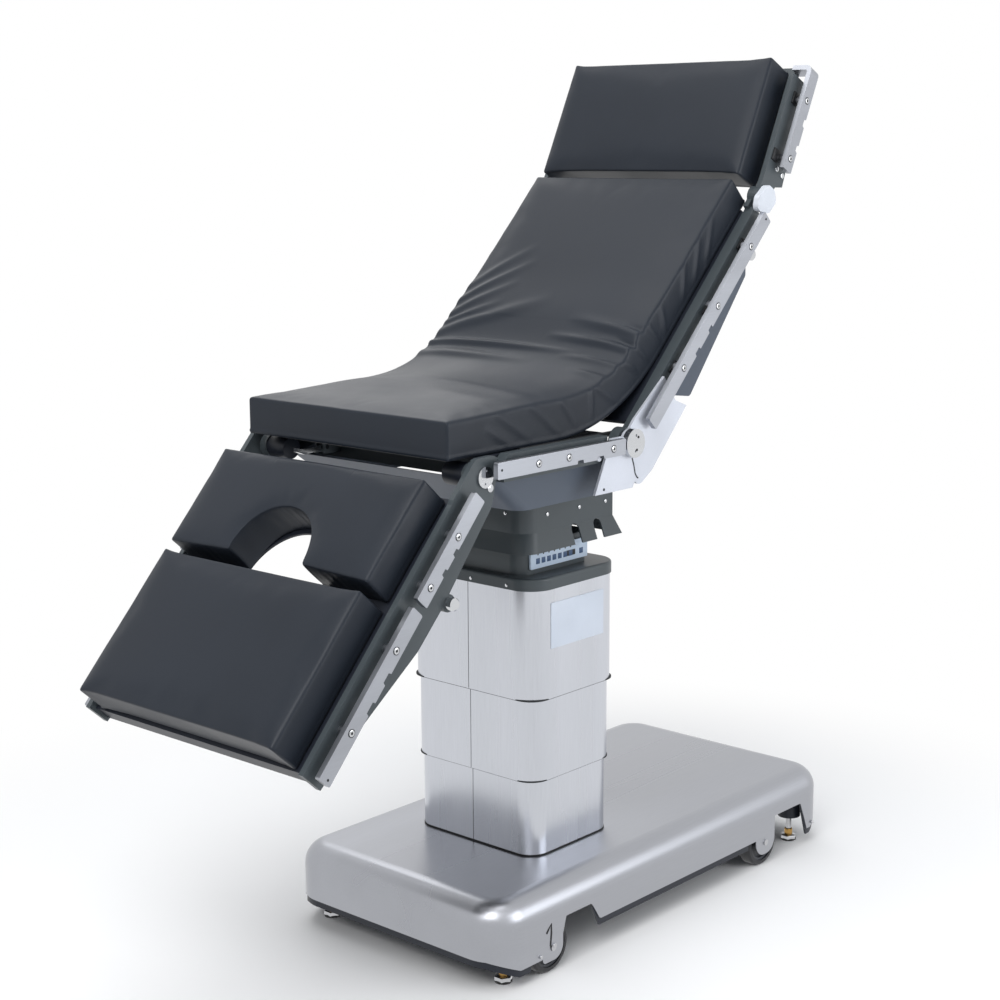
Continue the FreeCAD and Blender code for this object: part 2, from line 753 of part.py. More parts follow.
def column_guides():
    """Three square tubes that slide in one another and carry the load of the column."""
    outer = new_body("base_guide")
    square_tube(outer, "guide_side", "guide_wall", "deck_top", "lower_top")
    middle = new_body("middle_guide")
    square_tube(middle, "middle_guide_side", "guide_wall", "middle_guide_low", "middle_top")
    bridge = new_sketch(middle, "XY_Plane", "middle_top - guide_wall")
    inset = "sleeve_wall - hole_fit"
    plan = both_ways(f"middle_x - {inset}", f"middle_y - {inset}")
    draw_rounded(bridge, plan, f"sleeve_corner + sleeve_step - {inset}")
    opening = "middle_guide_side - guide_wall"
    draw_outline(bridge, box_points(*both_ways(opening, opening)))
    pad(middle, bridge, "guide_wall")
    ram = new_body("lift_ram")
    square_tube(ram, "ram_side", "guide_wall", "ram_low", "collar_under")
    for body in (outer, middle, ram):
        place(body)


def column_collar():
    """Dark collar that caps the upper sleeve."""
    body = new_body("column_collar")
    half_x = "upper_x + running_gap + collar_rim"
    half_y = "upper_y + running_gap + collar_rim"
    corner = "sleeve_corner + 2 * sleeve_step"
    outer = rounded(body, "XY_Plane", both_ways(half_x, half_y), f"{corner} + collar_rim", "collar_low")
    pad(body, outer, "collar_top - collar_low")
    round_rim(body, "5", "collar_top")
    inner = both_ways("upper_x + running_gap", "upper_y + running_gap")
    core = rounded(body, "XY_Plane", inner, corner, "collar_low")
    pocket(body, core, "collar_under - collar_low", along=True)
    return place(body)


def neck_housing():
    """Painted housing on the collar, closed above, with the control panel on its side."""
    body = new_body("neck_housing")
    left, right = "pitch_axis_x - neck_x", "pitch_axis_x + neck_x"
    outer = rounded(body, "XY_Plane", (left, right, "-neck_y", "neck_y"), "neck_corner", "collar_top")
    pad(body, outer, "neck_top - collar_top")
    round_rim(body, "3", "neck_top")
    side = "neck_y - neck_wall"
    inner = (f"{left} + neck_wall", f"{right} - neck_wall", f"-({side})", side)
    core = rounded(body, "XY_Plane", inner, "neck_corner - neck_wall", "collar_top")
    pocket(body, core, "neck_top - neck_wall - collar_top", along=True)
    place(body)
    panel = new_body("control_panel")
    face = box_points("panel_left", "panel_right", "panel_low", "panel_high")
    pad(panel, outline(panel, "XZ_Plane", face, "neck_y"), "panel_thick")
    round_corners(panel, "XZ_Plane", "3", face)
    place(panel)


def tilt_bracket():
    """Two ears on the neck that hold the side-tilt axle of the gimbal."""
    body = new_body("tilt_bracket")
    foot = box_points("pitch_axis_x - ear_far", "pitch_axis_x + ear_far", "-50", "50")
    pad(body, outline(body, "XY_Plane", foot, "neck_top"), "6")
    for start in ("pitch_axis_x - ear_far", "pitch_axis_x + ear_near"):
        wall = box_points("-40", "40", "neck_top", "tilt_axis_z")
        pad(body, outline(body, "YZ_Plane", wall, start), "ear_far - ear_near")
        pad(body, discs(body, "YZ_Plane", [("0", "tilt_axis_z")], "ear_radius", start), "ear_far - ear_near")
    pocket(body, discs(body, "YZ_Plane", [("0", "tilt_axis_z")], "tilt_pin + pin_fit"))
    return place(body)


def gimbal_cross():
    """The gimbal's cross: a block with side-tilt trunnions and a bore for the pitch shaft."""
    body = new_body("gimbal_cross")
    plan = box_points("pitch_axis_x - cross_thin", "pitch_axis_x + cross_thin", "-cross_half", "cross_half")
    pad(body, outline(body, "XY_Plane", plan, "cross_low"), "cross_top - cross_low")
    round_corners(body, "XY_Plane", "8", plan)
    pin = discs(body, "YZ_Plane", [("0", "tilt_axis_z")], "tilt_pin", "pitch_axis_x - ear_far")
    pad(body, pin, "2 * ear_far")
    pocket(body, discs(body, "XZ_Plane", [("pitch_axis_x", "pitch_axis_z")], "pitch_shaft + pin_fit"))
    return place(body)


def skirt_section(body, grow, level):
    half_x, half_y = f"skirt_x + {grow}", f"skirt_y + {grow}"
    plan = (f"skirt_mid_x - ({half_x})", f"skirt_mid_x + {half_x}", f"-({half_y})", half_y)
    return rounded(body, "XY_Plane", plan, "skirt_corner", level, "skirt_rear_corner")


def loft(body, sections, cut=False):
    kind = "SubtractiveLoft" if cut else "AdditiveLoft"
    feature = body.newObject("PartDesign::" + kind, body.Name + "_loft")
    feature.Profile = sections[0]
    feature.Sections = sections[1:]
    feature.Ruled = True
    body.Tip = feature
    doc.recompute()
    return feature


def skirt():
    """Screwed cover over the gimbal: straight above, flared below, with two notches a side."""
    body = new_body("skirt")
    for grow, cut in (("0", False), ("-skirt_wall", True)):
        low = skirt_section(body, f"skirt_flare + {grow}", "skirt_low")
        loft(body, [low, skirt_section(body, grow, "skirt_bend")], cut)
        upper = skirt_section(body, grow, "skirt_bend")
        if cut:
            pocket(body, upper, "skirt_top - skirt_wall - skirt_bend", along=True)
        else:
            pad(body, upper, "skirt_top - skirt_bend")
    across, along = "cross_thin + running_gap", "cross_half + running_gap"
    opening = (f"pitch_axis_x - ({across})", f"pitch_axis_x + {across}", f"-({along})", along)
    pocket(body, rounded(body, "XY_Plane", opening, "8", "skirt_top + 1"), "skirt_wall + 2")
    radius = "notch_wide / 2"
    for x in ("notch_one_x", "notch_two_x"):
        slot = box_points(f"{x} - {radius}", f"{x} + {radius}", "skirt_low - 5", f"notch_top - {radius}")
        pocket(body, outline(body, "XZ_Plane", slot))
        pocket(body, discs(body, "XZ_Plane", [(x, f"notch_top - {radius}")], radius))
    return place(body)


def seat_hull():
    """Tapered housing under the seat, open below where the skirt enters it."""
    body = new_body("seat_hull")
    levels = (
        ("seat_hull_low", "hull_front_low", "hull_half_low"),
        ("seat_hull_top", "hull_front_top", "hull_half_top"),
    )
    for wall, cut in (("0", False), ("hull_wall", True)):
        sections = []
        for level, front, half in levels:
            side = f"{half} - {wall}"
            plan = (f"{front} + {wall}", f"hull_rear - {wall}", f"-({side})", side)
            sections.append(rounded(body, "XY_Plane", plan, f"hull_corner - {wall}", level))
        loft(body, sections, cut)
    return place(body)


def seat_frame():
    """Seat frame: two side beams with hinge arms, cross members and lugs for the pitch shaft."""
    body = new_body("seat_frame")
    beam = [("seat_beam_front", "seat_hull_top"), ("seat_beam_rear", "seat_hull_top"),
            ("seat_beam_rear", "seat_beam_top"), ("seat_beam_front + 14", "seat_beam_top"),
            ("seat_beam_front", "seat_beam_top - 12")]
    for side in ("beam_in", "-(frame_out - running_gap)"):
        pad(body, outline(body, "XZ_Plane", beam, side), "frame_out - running_gap - beam_in")
    hinge = ("leg_hinge_x", "leg_hinge_z")
    arm = [("leg_hinge_x", "seat_hull_top"), ("seat_beam_front + 40", "seat_hull_top"),
           ("seat_beam_front + 40", "seat_hull_top + 40"), ("leg_hinge_x", "leg_hinge_z + 20")]
    for side in ("arm_in", "-arm_out"):
        pad(body, outline(body, "XZ_Plane", arm, side), "arm_out - arm_in")
        pad(body, discs(body, "XZ_Plane", [hinge], "hinge_eye - 4", side), "arm_out - arm_in")
    low, high = "seat_hull_top", "seat_cushion_low - running_gap - seat_deck_thick"
    for start, wide in (("seat_beam_front + 4", "36"), ("-110", "50")):
        bar = box_points(start, f"{start} + {wide}", low, high)
        pad(body, outline(body, "XZ_Plane", bar), "2 * beam_in", middle=True)
    lug = [("-110", high), ("-110", low), ("pitch_axis_x - 30", "pitch_axis_z"),
           ("pitch_axis_x + 30", "pitch_axis_z"), ("-60", high)]
    pivot = ("pitch_axis_x", "pitch_axis_z")
    for side in ("lug_in", "-lug_out"):
        pad(body, outline(body, "XZ_Plane", lug, side), "lug_out - lug_in")
        pad(body, discs(body, "XZ_Plane", [pivot], "30", side), "lug_out - lug_in")
    pocket(body, discs(body, "XZ_Plane", [pivot], "pitch_shaft + hole_fit"))
    pocket(body, discs(body, "XZ_Plane", [hinge], "pin_bore"))
    for side in ("-(lever_y + 12)", "-(lever_y - 8)"):
        ears = box_points("hull_front_top - 24", "seat_beam_front + 4", "seat_hull_top + 11", "seat_hull_top + 35")
        pad(body, outline(body, "XZ_Plane", ears, side), "4")
    pocket(body, discs(body, "XZ_Plane", [("hull_front_top - 16", "seat_hull_top + 23")], "4 + pin_fit"))
    place(body)
    shaft = new_body("pitch_axle")
    pad(shaft, discs(shaft, "XZ_Plane", [pivot], "pitch_shaft"), "2 * lug_out", middle=True)
    place(shaft)


def seat_deck():
    body = new_body("seat_deck")
    low = "seat_cushion_low - running_gap - seat_deck_thick"
    plan = box_points("seat_beam_front - 40", "seat_beam_rear + 36", "-deck_out", "deck_out")
    pad(body, outline(body, "XY_Plane", plan, low), "seat_deck_thick")
    round_corners(body, "XY_Plane", "12", plan)
    return place(body)


def rail(name, start, end, over, notches, studs, stand=None):
    """A pair of accessory rails with notched lower edges and sunk holes for their screws."""
    body = new_body(name)
    low, high = f"{over} - rail_high / 2", f"{over} + rail_high / 2"
    face = box_points(start, end, low, high)
    pad(body, outline(body, "XZ_Plane", face, "rail_in"), "rail_thick")
    round_corners(body, "XZ_Plane", "3", face)
    for left, right in notches:
        points = [(left, f"{low} - 1"), (right, f"{low} - 1"),
                  (f"{right} - 2", f"{low} + notch_deep"), (f"{left} + 2", f"{low} + notch_deep")]
        pocket(body, outline(body, "XZ_Plane", points))
    spots = [(x, over) for x in studs]
    pocket(body, discs(body, "XZ_Plane", spots, "stud_shank + hole_fit"))
    pocket(body, discs(body, "XZ_Plane", spots, "stud_head + hole_fit", "rail_out"), "head_sunk")
    twin(body)
    return body


def rail_studs(name, over, studs, foot="frame_out"):
    """Spacers with their screws: each stands on the frame and holds the rail off it."""
    body = new_body(name)
    spots = [(x, over) for x in studs]
    pad(body, discs(body, "XZ_Plane", spots, "stud_foot", foot), f"rail_in - ({foot})")
    pad(body, discs(body, "XZ_Plane", spots, "stud_shank", "rail_in"), "rail_thick - head_sunk")
    pad(body, discs(body, "XZ_Plane", spots, "stud_head", "rail_out - head_sunk"), "head_sunk - 0.2")
    twin(body)
    return body


def seat_rails():
    studs = ["-267", "-188", "-66"]
    notches = [("-166", "-148"), ("-111", "-92")]
    place(rail("seat_rails", "seat_rail_front", "seat_rail_rear", "seat_rail_z", notches, studs))
    place(rail_studs("seat_rail_studs", "seat_rail_z", studs, "frame_out - running_gap"))


def seat_hinge_plates():
    """Outer plates of the back hinge, fixed to the seat's beams by a boss each."""
    body = new_body("seat_hinge_plates")
    eye = ("back_hinge_x", "back_hinge_z")
    spots = [("-55", "14"), ("-100.3", "-81.7"), ("6", "-81.7"), ("15.6", "-67.5"), ("-1", "-28"), ("-1", "14")]
    shape = [(f"back_hinge_x + {x}", f"back_hinge_z + {z}") for x, z in spots]
    pad(body, outline(body, "XZ_Plane", shape, "seat_plate_in"), "hinge_plate")
    pad(body, discs(body, "XZ_Plane", [eye], "back_cap", "seat_plate_in"), "hinge_plate")
    boss = discs(body, "XZ_Plane", [("back_hinge_x - 82", "back_hinge_z - 19")], "5", "frame_out - running_gap")
    pad(body, boss, "seat_plate_in - frame_out + running_gap")
    pocket(body, discs(body, "XZ_Plane", [eye], "hinge_pin + hole_fit"))
    stud = discs(body, "XZ_Plane", [("-66", "seat_rail_z")], "stud_foot + hole_fit")
    pocket(body, stud)
    twin(body)
    return place(body)


def back_hinge_pins():
    """Pins of the back hinge, each with a flat round cap that has two spanner holes."""
    body = new_body("back_hinge_pins")
    eye = [("back_hinge_x", "back_hinge_z")]
    cap = "seat_plate_in + hinge_plate"
    pad(body, discs(body, "XZ_Plane", eye, "hinge_pin", "beam_in"), f"{cap} - beam_in")
    pad(body, discs(body, "XZ_Plane", eye, "back_cap", cap), f"rail_out - ({cap})")
    spots = [("back_hinge_x + 1", "back_hinge_z + 14"), ("back_hinge_x - 1", "back_hinge_z - 14")]
    pocket(body, discs(body, "XZ_Plane", spots, "2.2", "rail_out"), "4")
    twin(body)
    return place(body)


def release_lever():
    """Chrome lever under the front of the seat, on a pin between two ears of the frame."""
    body = new_body("release_lever")
    pivot = [("hull_front_top - 16", "seat_hull_top + 23")]
    spots = [("16", "18"), ("64", "14"), ("80", "20"), ("80", "27"), ("62", "23"), ("16", "28")]
    arm = [(f"hull_front_top - {x}", f"seat_hull_top + {z}") for x, z in spots]
    pad(body, outline(body, "XZ_Plane", arm, "-(lever_y + 6)"), "12")
    pad(body, discs(body, "XZ_Plane", pivot, "7", "-(lever_y + 6)"), "12")
    pad(body, discs(body, "XZ_Plane", pivot, "4", "-(lever_y + 12)"), "24")
    place(body)


def cushion(name, profile, half):
    """A plain closed solid for a foam pad, from its side profile."""
    body = new_body(name)
    pad(body, outline(body, "XZ_Plane", profile), f"2 * ({half})", middle=True)
    return body


def seat_cushion():
    """The seat's half of the long pad; its end is bevelled for the fold at the back hinge."""
    low, high = "seat_cushion_low", "seat_cushion_low + cushion_thick"
    fold_low = "back_hinge_x - (seat_cushion_low - back_hinge_z) * fold_slope - 2"
    fold_high = "back_hinge_x - (seat_cushion_low + cushion_thick - back_hinge_z) * fold_slope - 2"
    profile = [("seat_cushion_front", low), (fold_low, low), (fold_high, high), ("seat_cushion_front", high)]
    return place(cushion("seat_cushion", profile, "cushion_half"))


def leg_side_plates():
    """Long painted side plates of the leg section, with a round nose at the hinge."""
    body = new_body("leg_side_plates")
    nose = [("20", "19"), ("52", "-14"), ("52", "-30"), ("-16.5", "-66")]
    rest = [("-210", "-77"), ("-290", "-75"), ("-440", "-46"), ("-leg_tip", "-32"), ("-leg_tip", "16.6"),
            ("-68", "16.6"), ("-60", "19")]
    pad(body, outline(body, "XZ_Plane", nose + rest, "plate_in"), "plate_thick")
    round_corners(body, "XZ_Plane", "18", nose[:2])
    round_corners(body, "XZ_Plane", "12", nose[2:3])
    round_corners(body, "XZ_Plane", "25", nose[3:])
    pocket(body, discs(body, "XZ_Plane", [("leg_pin_x", "leg_pin_over")], "hinge_pin + hole_fit"))
    pad(body, discs(body, "XZ_Plane", [("leg_knob_x", "leg_knob_over")], "15", "plate_in"), "plate_thick")
    pocket(body, discs(body, "XZ_Plane", [("leg_knob_x", "leg_knob_over")], "knob_pin + pin_fit"))
    twin(body)
    return at_leg(body)


def leg_hinge_drums():
    """Hinge pins of the leg section with their drums inside and flat caps outside."""
    body = new_body("leg_hinge_drums")
    here = [("leg_pin_x", "leg_pin_over")]
    pad(body, discs(body, "XZ_Plane", here, "drum_radius", "drum_in"), "arm_in - running_gap - drum_in")
    pin = discs(body, "XZ_Plane", here, "hinge_pin", "arm_in - running_gap")
    pad(body, pin, "frame_out - arm_in + running_gap")
    pad(body, discs(body, "XZ_Plane", here, "leg_cap", "frame_out"), "leg_cap_thick")
    holes = [("leg_pin_x + 9", "leg_pin_over + 6"), ("leg_pin_x - 9", "leg_pin_over - 6")]
    pocket(body, discs(body, "XZ_Plane", holes, "2", "frame_out + leg_cap_thick"), "3")
    twin(body)
    return at_leg(body)


def leg_deck():
    """Deck and cross members of the leg section, with the half-round opening."""
    body = new_body("leg_deck")
    top = "leg_cushion_low - running_gap"
    start, end = "-leg_cushion_end", "-leg_cushion_start"
    plan = box_points(start, end, "-plate_in", "plate_in")
    pad(body, outline(body, "XY_Plane", plan, f"{top} - leg_deck_thick"), "leg_deck_thick")
    low = f"{top} - leg_deck_thick"
    for near, wide, deep in (("-leg_cushion_end", "40", "30"), ("-leg_split - 24", "22", "30"),
                             ("-leg_cushion_start - 34", "30", "22")):
        bar = box_points(near, f"{near} + {wide}", f"{low} - {deep}", low)
        pad(body, outline(body, "XZ_Plane", bar), "2 * plate_in", middle=True)
    pocket(body, discs(body, "XY_Plane", [("-cutout_centre", "0")], "cutout_radius + 4", f"{low} - 40"), "80",
           along=True)
    rest = box_points("-leg_cushion_end", "-leg_split - 2", "-plate_in", "plate_in")
    pad(body, outline(body, "XY_Plane", rest, low), "leg_deck_thick")
    return at_leg(body)


def leg_cushions():
    """Two pads on the leg section; the one by the seat has the half-round opening."""
    low, high = "leg_cushion_low", "leg_cushion_low + cushion_thick"
    near = box_points("-leg_split + cushion_gap", "-leg_cushion_start", low, high)
    opening = cushion("cutout_cushion", near, "cushion_half")
    pocket(opening, discs(opening, "XY_Plane", [("-cutout_centre", "0")], "cutout_radius", "0"), "100", along=True)
    at_leg(opening)
    far = box_points("-leg_cushion_end", "-leg_split - cushion_gap", low, high)
    at_leg(cushion("leg_end_cushion", far, "cushion_half"))


def leg_rails():
    over = "leg_rail_over"
    first_studs = ["-109", "-206"]
    first_notches = [("-139", "-124"), ("-178", "-163")]
    at_leg(rail("leg_rails_near", "-236", "-31", over, first_notches, first_studs))
    second_studs = ["-323", "-471"]
    second_notches = [("-378", "-356"), ("-433", "-409")]
    at_leg(rail("leg_rails_far", "-559", "-250", over, second_notches, second_studs))
    at_leg(rail_studs("leg_rail_studs", over, first_studs + second_studs))


def knob(name, x, z, face, where):
    """A pull knob on the right side: a round head on a pin that slides along Y in its bearing."""
    body = new_body(name)
    head = f"{face} + running_gap"
    pad(body, discs(body, "XZ_Plane", [(x, z)], "knob_radius", head), "knob_long")
    bevel_rim(body, "2.5", f"-({head} + knob_long)", "Y")
    pad(body, discs(body, "XZ_Plane", [(x, z)], "knob_pin", f"{face} - plate_thick - 0.5"), "plate_thick + 1.5")
    return where(body)


def back_frame():
    """Back frame: two side beams from hinge to hinge, joined by cross members."""
    body = new_body("back_frame")
    beam = box_points("0", "back_tip + 6", "back_beam_low", "back_beam_top")
    arm = box_points("back_tip", "upper_hinge_along", "back_beam_low + 14", "back_beam_top + 8")
    for side, arm_side in (("beam_in", "beam_in"), ("-frame_out", "-(plate_in - running_gap)")):
        pad(body, outline(body, "XZ_Plane", beam, side), "frame_out - beam_in")
        pad(body, discs(body, "XZ_Plane", [("0", "0")], "hinge_eye", side), "frame_out - beam_in")
        pad(body, outline(body, "XZ_Plane", arm, arm_side), "plate_in - running_gap - beam_in")
        tip = [("upper_hinge_along", "upper_hinge_over")]
        pad(body, discs(body, "XZ_Plane", tip, "upper_eye", arm_side), "plate_in - running_gap - beam_in")
    for start, wide in (("62", "30"), ("housing_start + 8", "36"), ("housing_end - 50", "36"), ("back_tip - 34", "30")):
        bar = box_points(start, f"{start} + {wide}", "back_beam_low", "back_deck_low")
        pad(body, outline(body, "XZ_Plane", bar), "2 * beam_in", middle=True)
    pocket(body, discs(body, "XZ_Plane", [("0", "0")], "pin_bore"))
    pocket(body, discs(body, "XZ_Plane", [("upper_hinge_along", "upper_hinge_over")], "upper_eye / 2 + pin_fit"))
    lug = box_points("back_knob_x - 14", "back_knob_x + 14", "back_knob_over - 13", "back_beam_low")
    pad(body, outline(body, "XZ_Plane", lug, "beam_in"), "plate_thick")
    bore = discs(body, "XZ_Plane", [("back_knob_x", "back_knob_over")], "knob_pin + pin_fit")
    pocket(body, bore)
    return at_back(body)


def back_deck():
    body = new_body("back_deck")
    plan = box_points("42", "back_tip", "-deck_out", "deck_out")
    pad(body, outline(body, "XY_Plane", plan, "back_deck_low"), "back_cushion_low - running_gap - back_deck_low")
    round_corners(body, "XY_Plane", "12", plan)
    return at_back(body)


def back_housing():
    """Moulded housing under the back section, open towards the deck."""
    body = new_body("back_housing")
    outer = [("housing_start", "back_beam_low"), ("housing_start", "-74"), ("housing_start + 32", "-116"),
             ("housing_end - 19", "-90"), ("housing_end", "-70"), ("housing_end", "back_beam_low")]
    pad(body, outline(body, "XZ_Plane", outer), "2 * deck_out", middle=True)
    round_corners(body, "XZ_Plane", "10", outer[1:5])
    wall = "housing_wall"
    inner = [(f"housing_start + {wall}", "back_beam_low + 1"), (f"housing_start + {wall}", f"-74 + {wall} / 2"),
             (f"housing_start + 32 + {wall} / 2", f"-116 + {wall}"), (f"housing_end - 19 - {wall} / 2", f"-90 + {wall}"),
             (f"housing_end - {wall}", f"-70 + {wall} / 2"), (f"housing_end - {wall}", "back_beam_low + 1")]
    core = outline(body, "XZ_Plane", inner, f"-(deck_out - {wall})")
    pocket(body, core, f"2 * (deck_out - {wall})", along=True)
    return at_back(body)


def back_hinge_plates():
    """Inner plates of the back hinge, which turn with the back section."""
    body = new_body("back_hinge_plates")
    shape = [("-22", "14"), ("40", "16"), ("150", "2"), ("141", "-56"), ("156", "-89"), ("8", "-91"), ("-40", "-80"),
             ("-30", "-10")]
    pad(body, outline(body, "XZ_Plane", shape, "back_plate_in"), "hinge_plate")
    round_corners(body, "XZ_Plane", "16", shape[5:7])
    round_corners(body, "XZ_Plane", "10", shape[0:1])
    pocket(body, discs(body, "XZ_Plane", [("0", "0")], "pin_bore"))
    twin(body)
    return at_back(body)


def back_rails():
    studs = ["185", "333", "480"]
    notches = [("224", "243"), ("280", "296")]
    at_back(rail("back_rails", "54", "back_tip", "back_rail_over", notches, studs))
    at_back(rail_studs("back_rail_studs", "back_rail_over", studs))


def back_cushion():
    """The back's half of the long pad, bevelled at the hinge like the seat's."""
    low, high = "back_cushion_low", "back_cushion_low + cushion_thick - 2"
    profile = [("back_cushion_low * fold_slope + 3", low), ("back_cushion_end", low),
               ("back_cushion_end", high), (f"({high}) * fold_slope + 3", high)]
    return at_back(cushion("back_cushion", profile, "cushion_half"))


def upper_frame():
    """Upper frame: side plates with hinge eyes, a deck and cross members."""
    body = new_body("upper_frame")
    top = "upper_cushion_low - running_gap"
    low = f"{top} - upper_deck_thick"
    plate = [("-8", "16"), ("40", "12"), ("upper_plate_end", "12"), ("upper_plate_end", "-35"), ("44", "-54"),
             ("34", "-32"), ("-8", "-16")]
    for side in ("plate_in", "-frame_out"):
        pad(body, outline(body, "XZ_Plane", plate, side), "plate_thick")
        pad(body, discs(body, "XZ_Plane", [("0", "0")], "upper_eye", side), "plate_thick")
    plan = box_points("upper_cushion_start + 16", "upper_cushion_end", "-deck_out", "deck_out")
    pad(body, outline(body, "XY_Plane", plan, low), "upper_deck_thick")
    for start, wide in (("upper_cushion_start + 28", "26"), ("upper_plate_end - 34", "28")):
        bar = box_points(start, f"{start} + {wide}", f"{low} - 16", low)
        pad(body, outline(body, "XZ_Plane", bar), "2 * plate_in", middle=True)
    end = box_points("upper_plate_end - 6", "upper_rail_end", f"{low} - 16", low)
    pad(body, outline(body, "XZ_Plane", end), "2 * deck_out", middle=True)
    pocket(body, discs(body, "XZ_Plane", [("0", "0")], "upper_eye / 2 + pin_fit"))
    return at_upper(body)


def upper_rails():
    """Short rails whose ends turn inwards to the frame and leave a finger gap."""
    body = new_body("upper_rails")
    low = "upper_rail_over - rail_high / 2"
    out, inner = "-rail_out", "-rail_in"
    tip = "upper_rail_end - rail_thick"
    plan = [("upper_rail_start", out), ("upper_rail_end", out), ("upper_rail_end", "-deck_out"),
            (tip, "-deck_out"), (tip, inner), ("upper_rail_start", inner)]
    pad(body, outline(body, "XY_Plane", plan, low), "rail_high")
    round_corners(body, "XY_Plane", "14", [("upper_rail_end", out)])
    round_corners(body, "XY_Plane", "5", [(tip, inner)])
    for left, right in (("108", "124"), ("160", "178")):
        points = [(left, f"{low} - 1"), (right, f"{low} - 1"), (f"{right} - 3", f"{low} + notch_deep"),
                  (f"{left} + 3", f"{low} + notch_deep")]
        pocket(body, outline(body, "XZ_Plane", points))
    spots = [(x, "upper_rail_over") for x in ("90", "211")]
    pocket(body, discs(body, "XZ_Plane", spots, "stud_shank + hole_fit"))
    pocket(body, discs(body, "XZ_Plane", spots, "stud_head + hole_fit", "rail_out"), "head_sunk")
    twin(body)
    at_upper(body)
    at_upper(rail_studs("upper_rail_studs", "upper_rail_over", ["90", "211"]))


def upper_hinge():
    """Pins of the upper hinge with their drop-shaped outer caps."""
    body = new_body("upper_hinge_caps")
    tip = [("upper_hinge_along", "upper_hinge_over")]
    pad(body, discs(body, "XZ_Plane", tip, "upper_eye / 2", "beam_in"), "frame_out + running_gap - beam_in")
    spots = [("-40", "6"), ("-18", "-27"), ("14", "-30"), ("26", "-10"), ("20", "14"), ("-18", "20")]
    drop = [(f"upper_hinge_along + {x}", f"upper_hinge_over + {z}") for x, z in spots]
    pad(body, outline(body, "XZ_Plane", drop, "frame_out + running_gap"), "rail_stand - 1")
    round_corners(body, "XZ_Plane", "12", drop)
    twin(body)
    at_back(body)


def upper_cushion():
    profile = box_points("upper_cushion_start", "upper_cushion_end", "upper_cushion_low",
                         "upper_cushion_low + cushion_thick + 1.5")
    return at_upper(cushion("upper_cushion", profile, "cushion_half"))


def check_and_write():
    """Stops if any object failed, then writes each sub-part to its own file."""
    doc.recompute()
    for thing in doc.Objects:
        if any(word in thing.State for word in ("Invalid", "Error")):
            raise ValueError(f"{thing.Name} is {thing.State}")
    for body in NODES:
        shape = body.Shape
        if shape.isNull() or not shape.isValid() or not shape.Solids:
            raise ValueError(f"{body.Label} has no valid shape")
    os.makedirs("parts", exist_ok=True)
    for body in NODES:
        body.Shape.exportStep(f"parts/{body.Label}.step")
    whole = FreeCAD.BoundBox()
    for body in NODES:
        whole.add(body.Shape.BoundBox)
    print(len(NODES), "sub-parts;", whole)


fill_sheet()
base_cover()
base_chassis()
wheel_brackets()
wheel_axles()
for corner_name, axle_x in (("front", "front_axle_x"), ("rear", "rear_axle_x")):
    wheel(f"{corner_name}_left_wheel", axle_x, 1)
    wheel(f"{corner_name}_right_wheel", axle_x, -1)
for corner_name, foot_x in (("front", "front_foot_x"), ("rear", "rear_foot_x")):
    jack_foot(f"{corner_name}_left_foot", foot_x, "foot_y")
    jack_foot(f"{corner_name}_right_foot", foot_x, "-foot_y")
sleeve("lower_sleeve", "sleeve_x", "sleeve_y", "sleeve_corner", "base_top", "lower_top")
sleeve("middle_sleeve", "middle_x", "middle_y", "sleeve_corner + sleeve_step", "middle_low", "middle_top")
sleeve("upper_sleeve", "upper_x", "upper_y", "sleeve_corner + 2 * sleeve_step", "upper_low", "collar_under")
column_guides()
column_collar()
neck_housing()
tilt_bracket()
gimbal_cross()
skirt()
seat_hull()
seat_frame()
seat_deck()
seat_rails()
seat_hinge_plates()
back_hinge_pins()
release_lever()
seat_cushion()
leg_side_plates()
leg_hinge_drums()
leg_deck()
leg_cushions()
leg_rails()
knob("leg_lock_knob", "leg_knob_x", "leg_knob_over", "frame_out", at_leg)
back_frame()
back_deck()
back_housing()
knob("back_release_knob", "back_knob_x", "back_knob_over", "beam_in + plate_thick", at_back)
back_hinge_plates()
back_rails()
back_cushion()
upper_frame()
upper_rails()
upper_hinge()
upper_cushion()
check_and_write()
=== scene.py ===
import json
import math

import bmesh
import bpy
from mathutils import Matrix, Vector


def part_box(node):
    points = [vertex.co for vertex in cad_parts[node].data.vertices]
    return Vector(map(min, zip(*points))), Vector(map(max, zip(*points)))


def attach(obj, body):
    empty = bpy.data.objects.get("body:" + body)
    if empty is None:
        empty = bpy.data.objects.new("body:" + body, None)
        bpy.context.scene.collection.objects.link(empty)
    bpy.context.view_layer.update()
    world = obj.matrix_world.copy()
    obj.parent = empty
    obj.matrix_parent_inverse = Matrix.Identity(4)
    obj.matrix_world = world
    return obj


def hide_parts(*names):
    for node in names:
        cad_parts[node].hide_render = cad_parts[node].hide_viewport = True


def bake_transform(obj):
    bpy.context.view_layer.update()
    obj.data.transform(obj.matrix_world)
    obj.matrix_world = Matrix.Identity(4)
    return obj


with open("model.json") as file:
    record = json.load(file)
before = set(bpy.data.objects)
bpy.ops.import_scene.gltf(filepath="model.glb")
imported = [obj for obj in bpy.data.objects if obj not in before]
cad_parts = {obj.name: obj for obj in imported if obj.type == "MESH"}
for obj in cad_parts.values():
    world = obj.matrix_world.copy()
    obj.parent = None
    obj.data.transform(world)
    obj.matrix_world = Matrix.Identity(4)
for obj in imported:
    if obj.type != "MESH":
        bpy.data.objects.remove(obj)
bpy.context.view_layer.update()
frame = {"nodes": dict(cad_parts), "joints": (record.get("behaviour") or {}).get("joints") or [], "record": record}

# Operating table, dressed for the photograph. Metres, +Z up, +X towards the head end.
JOINT = {joint["name"]: joint for joint in frame["joints"]}
SLOT_OF = {part["node"]: part["material_slot"] for part in frame["record"]["subparts"]}

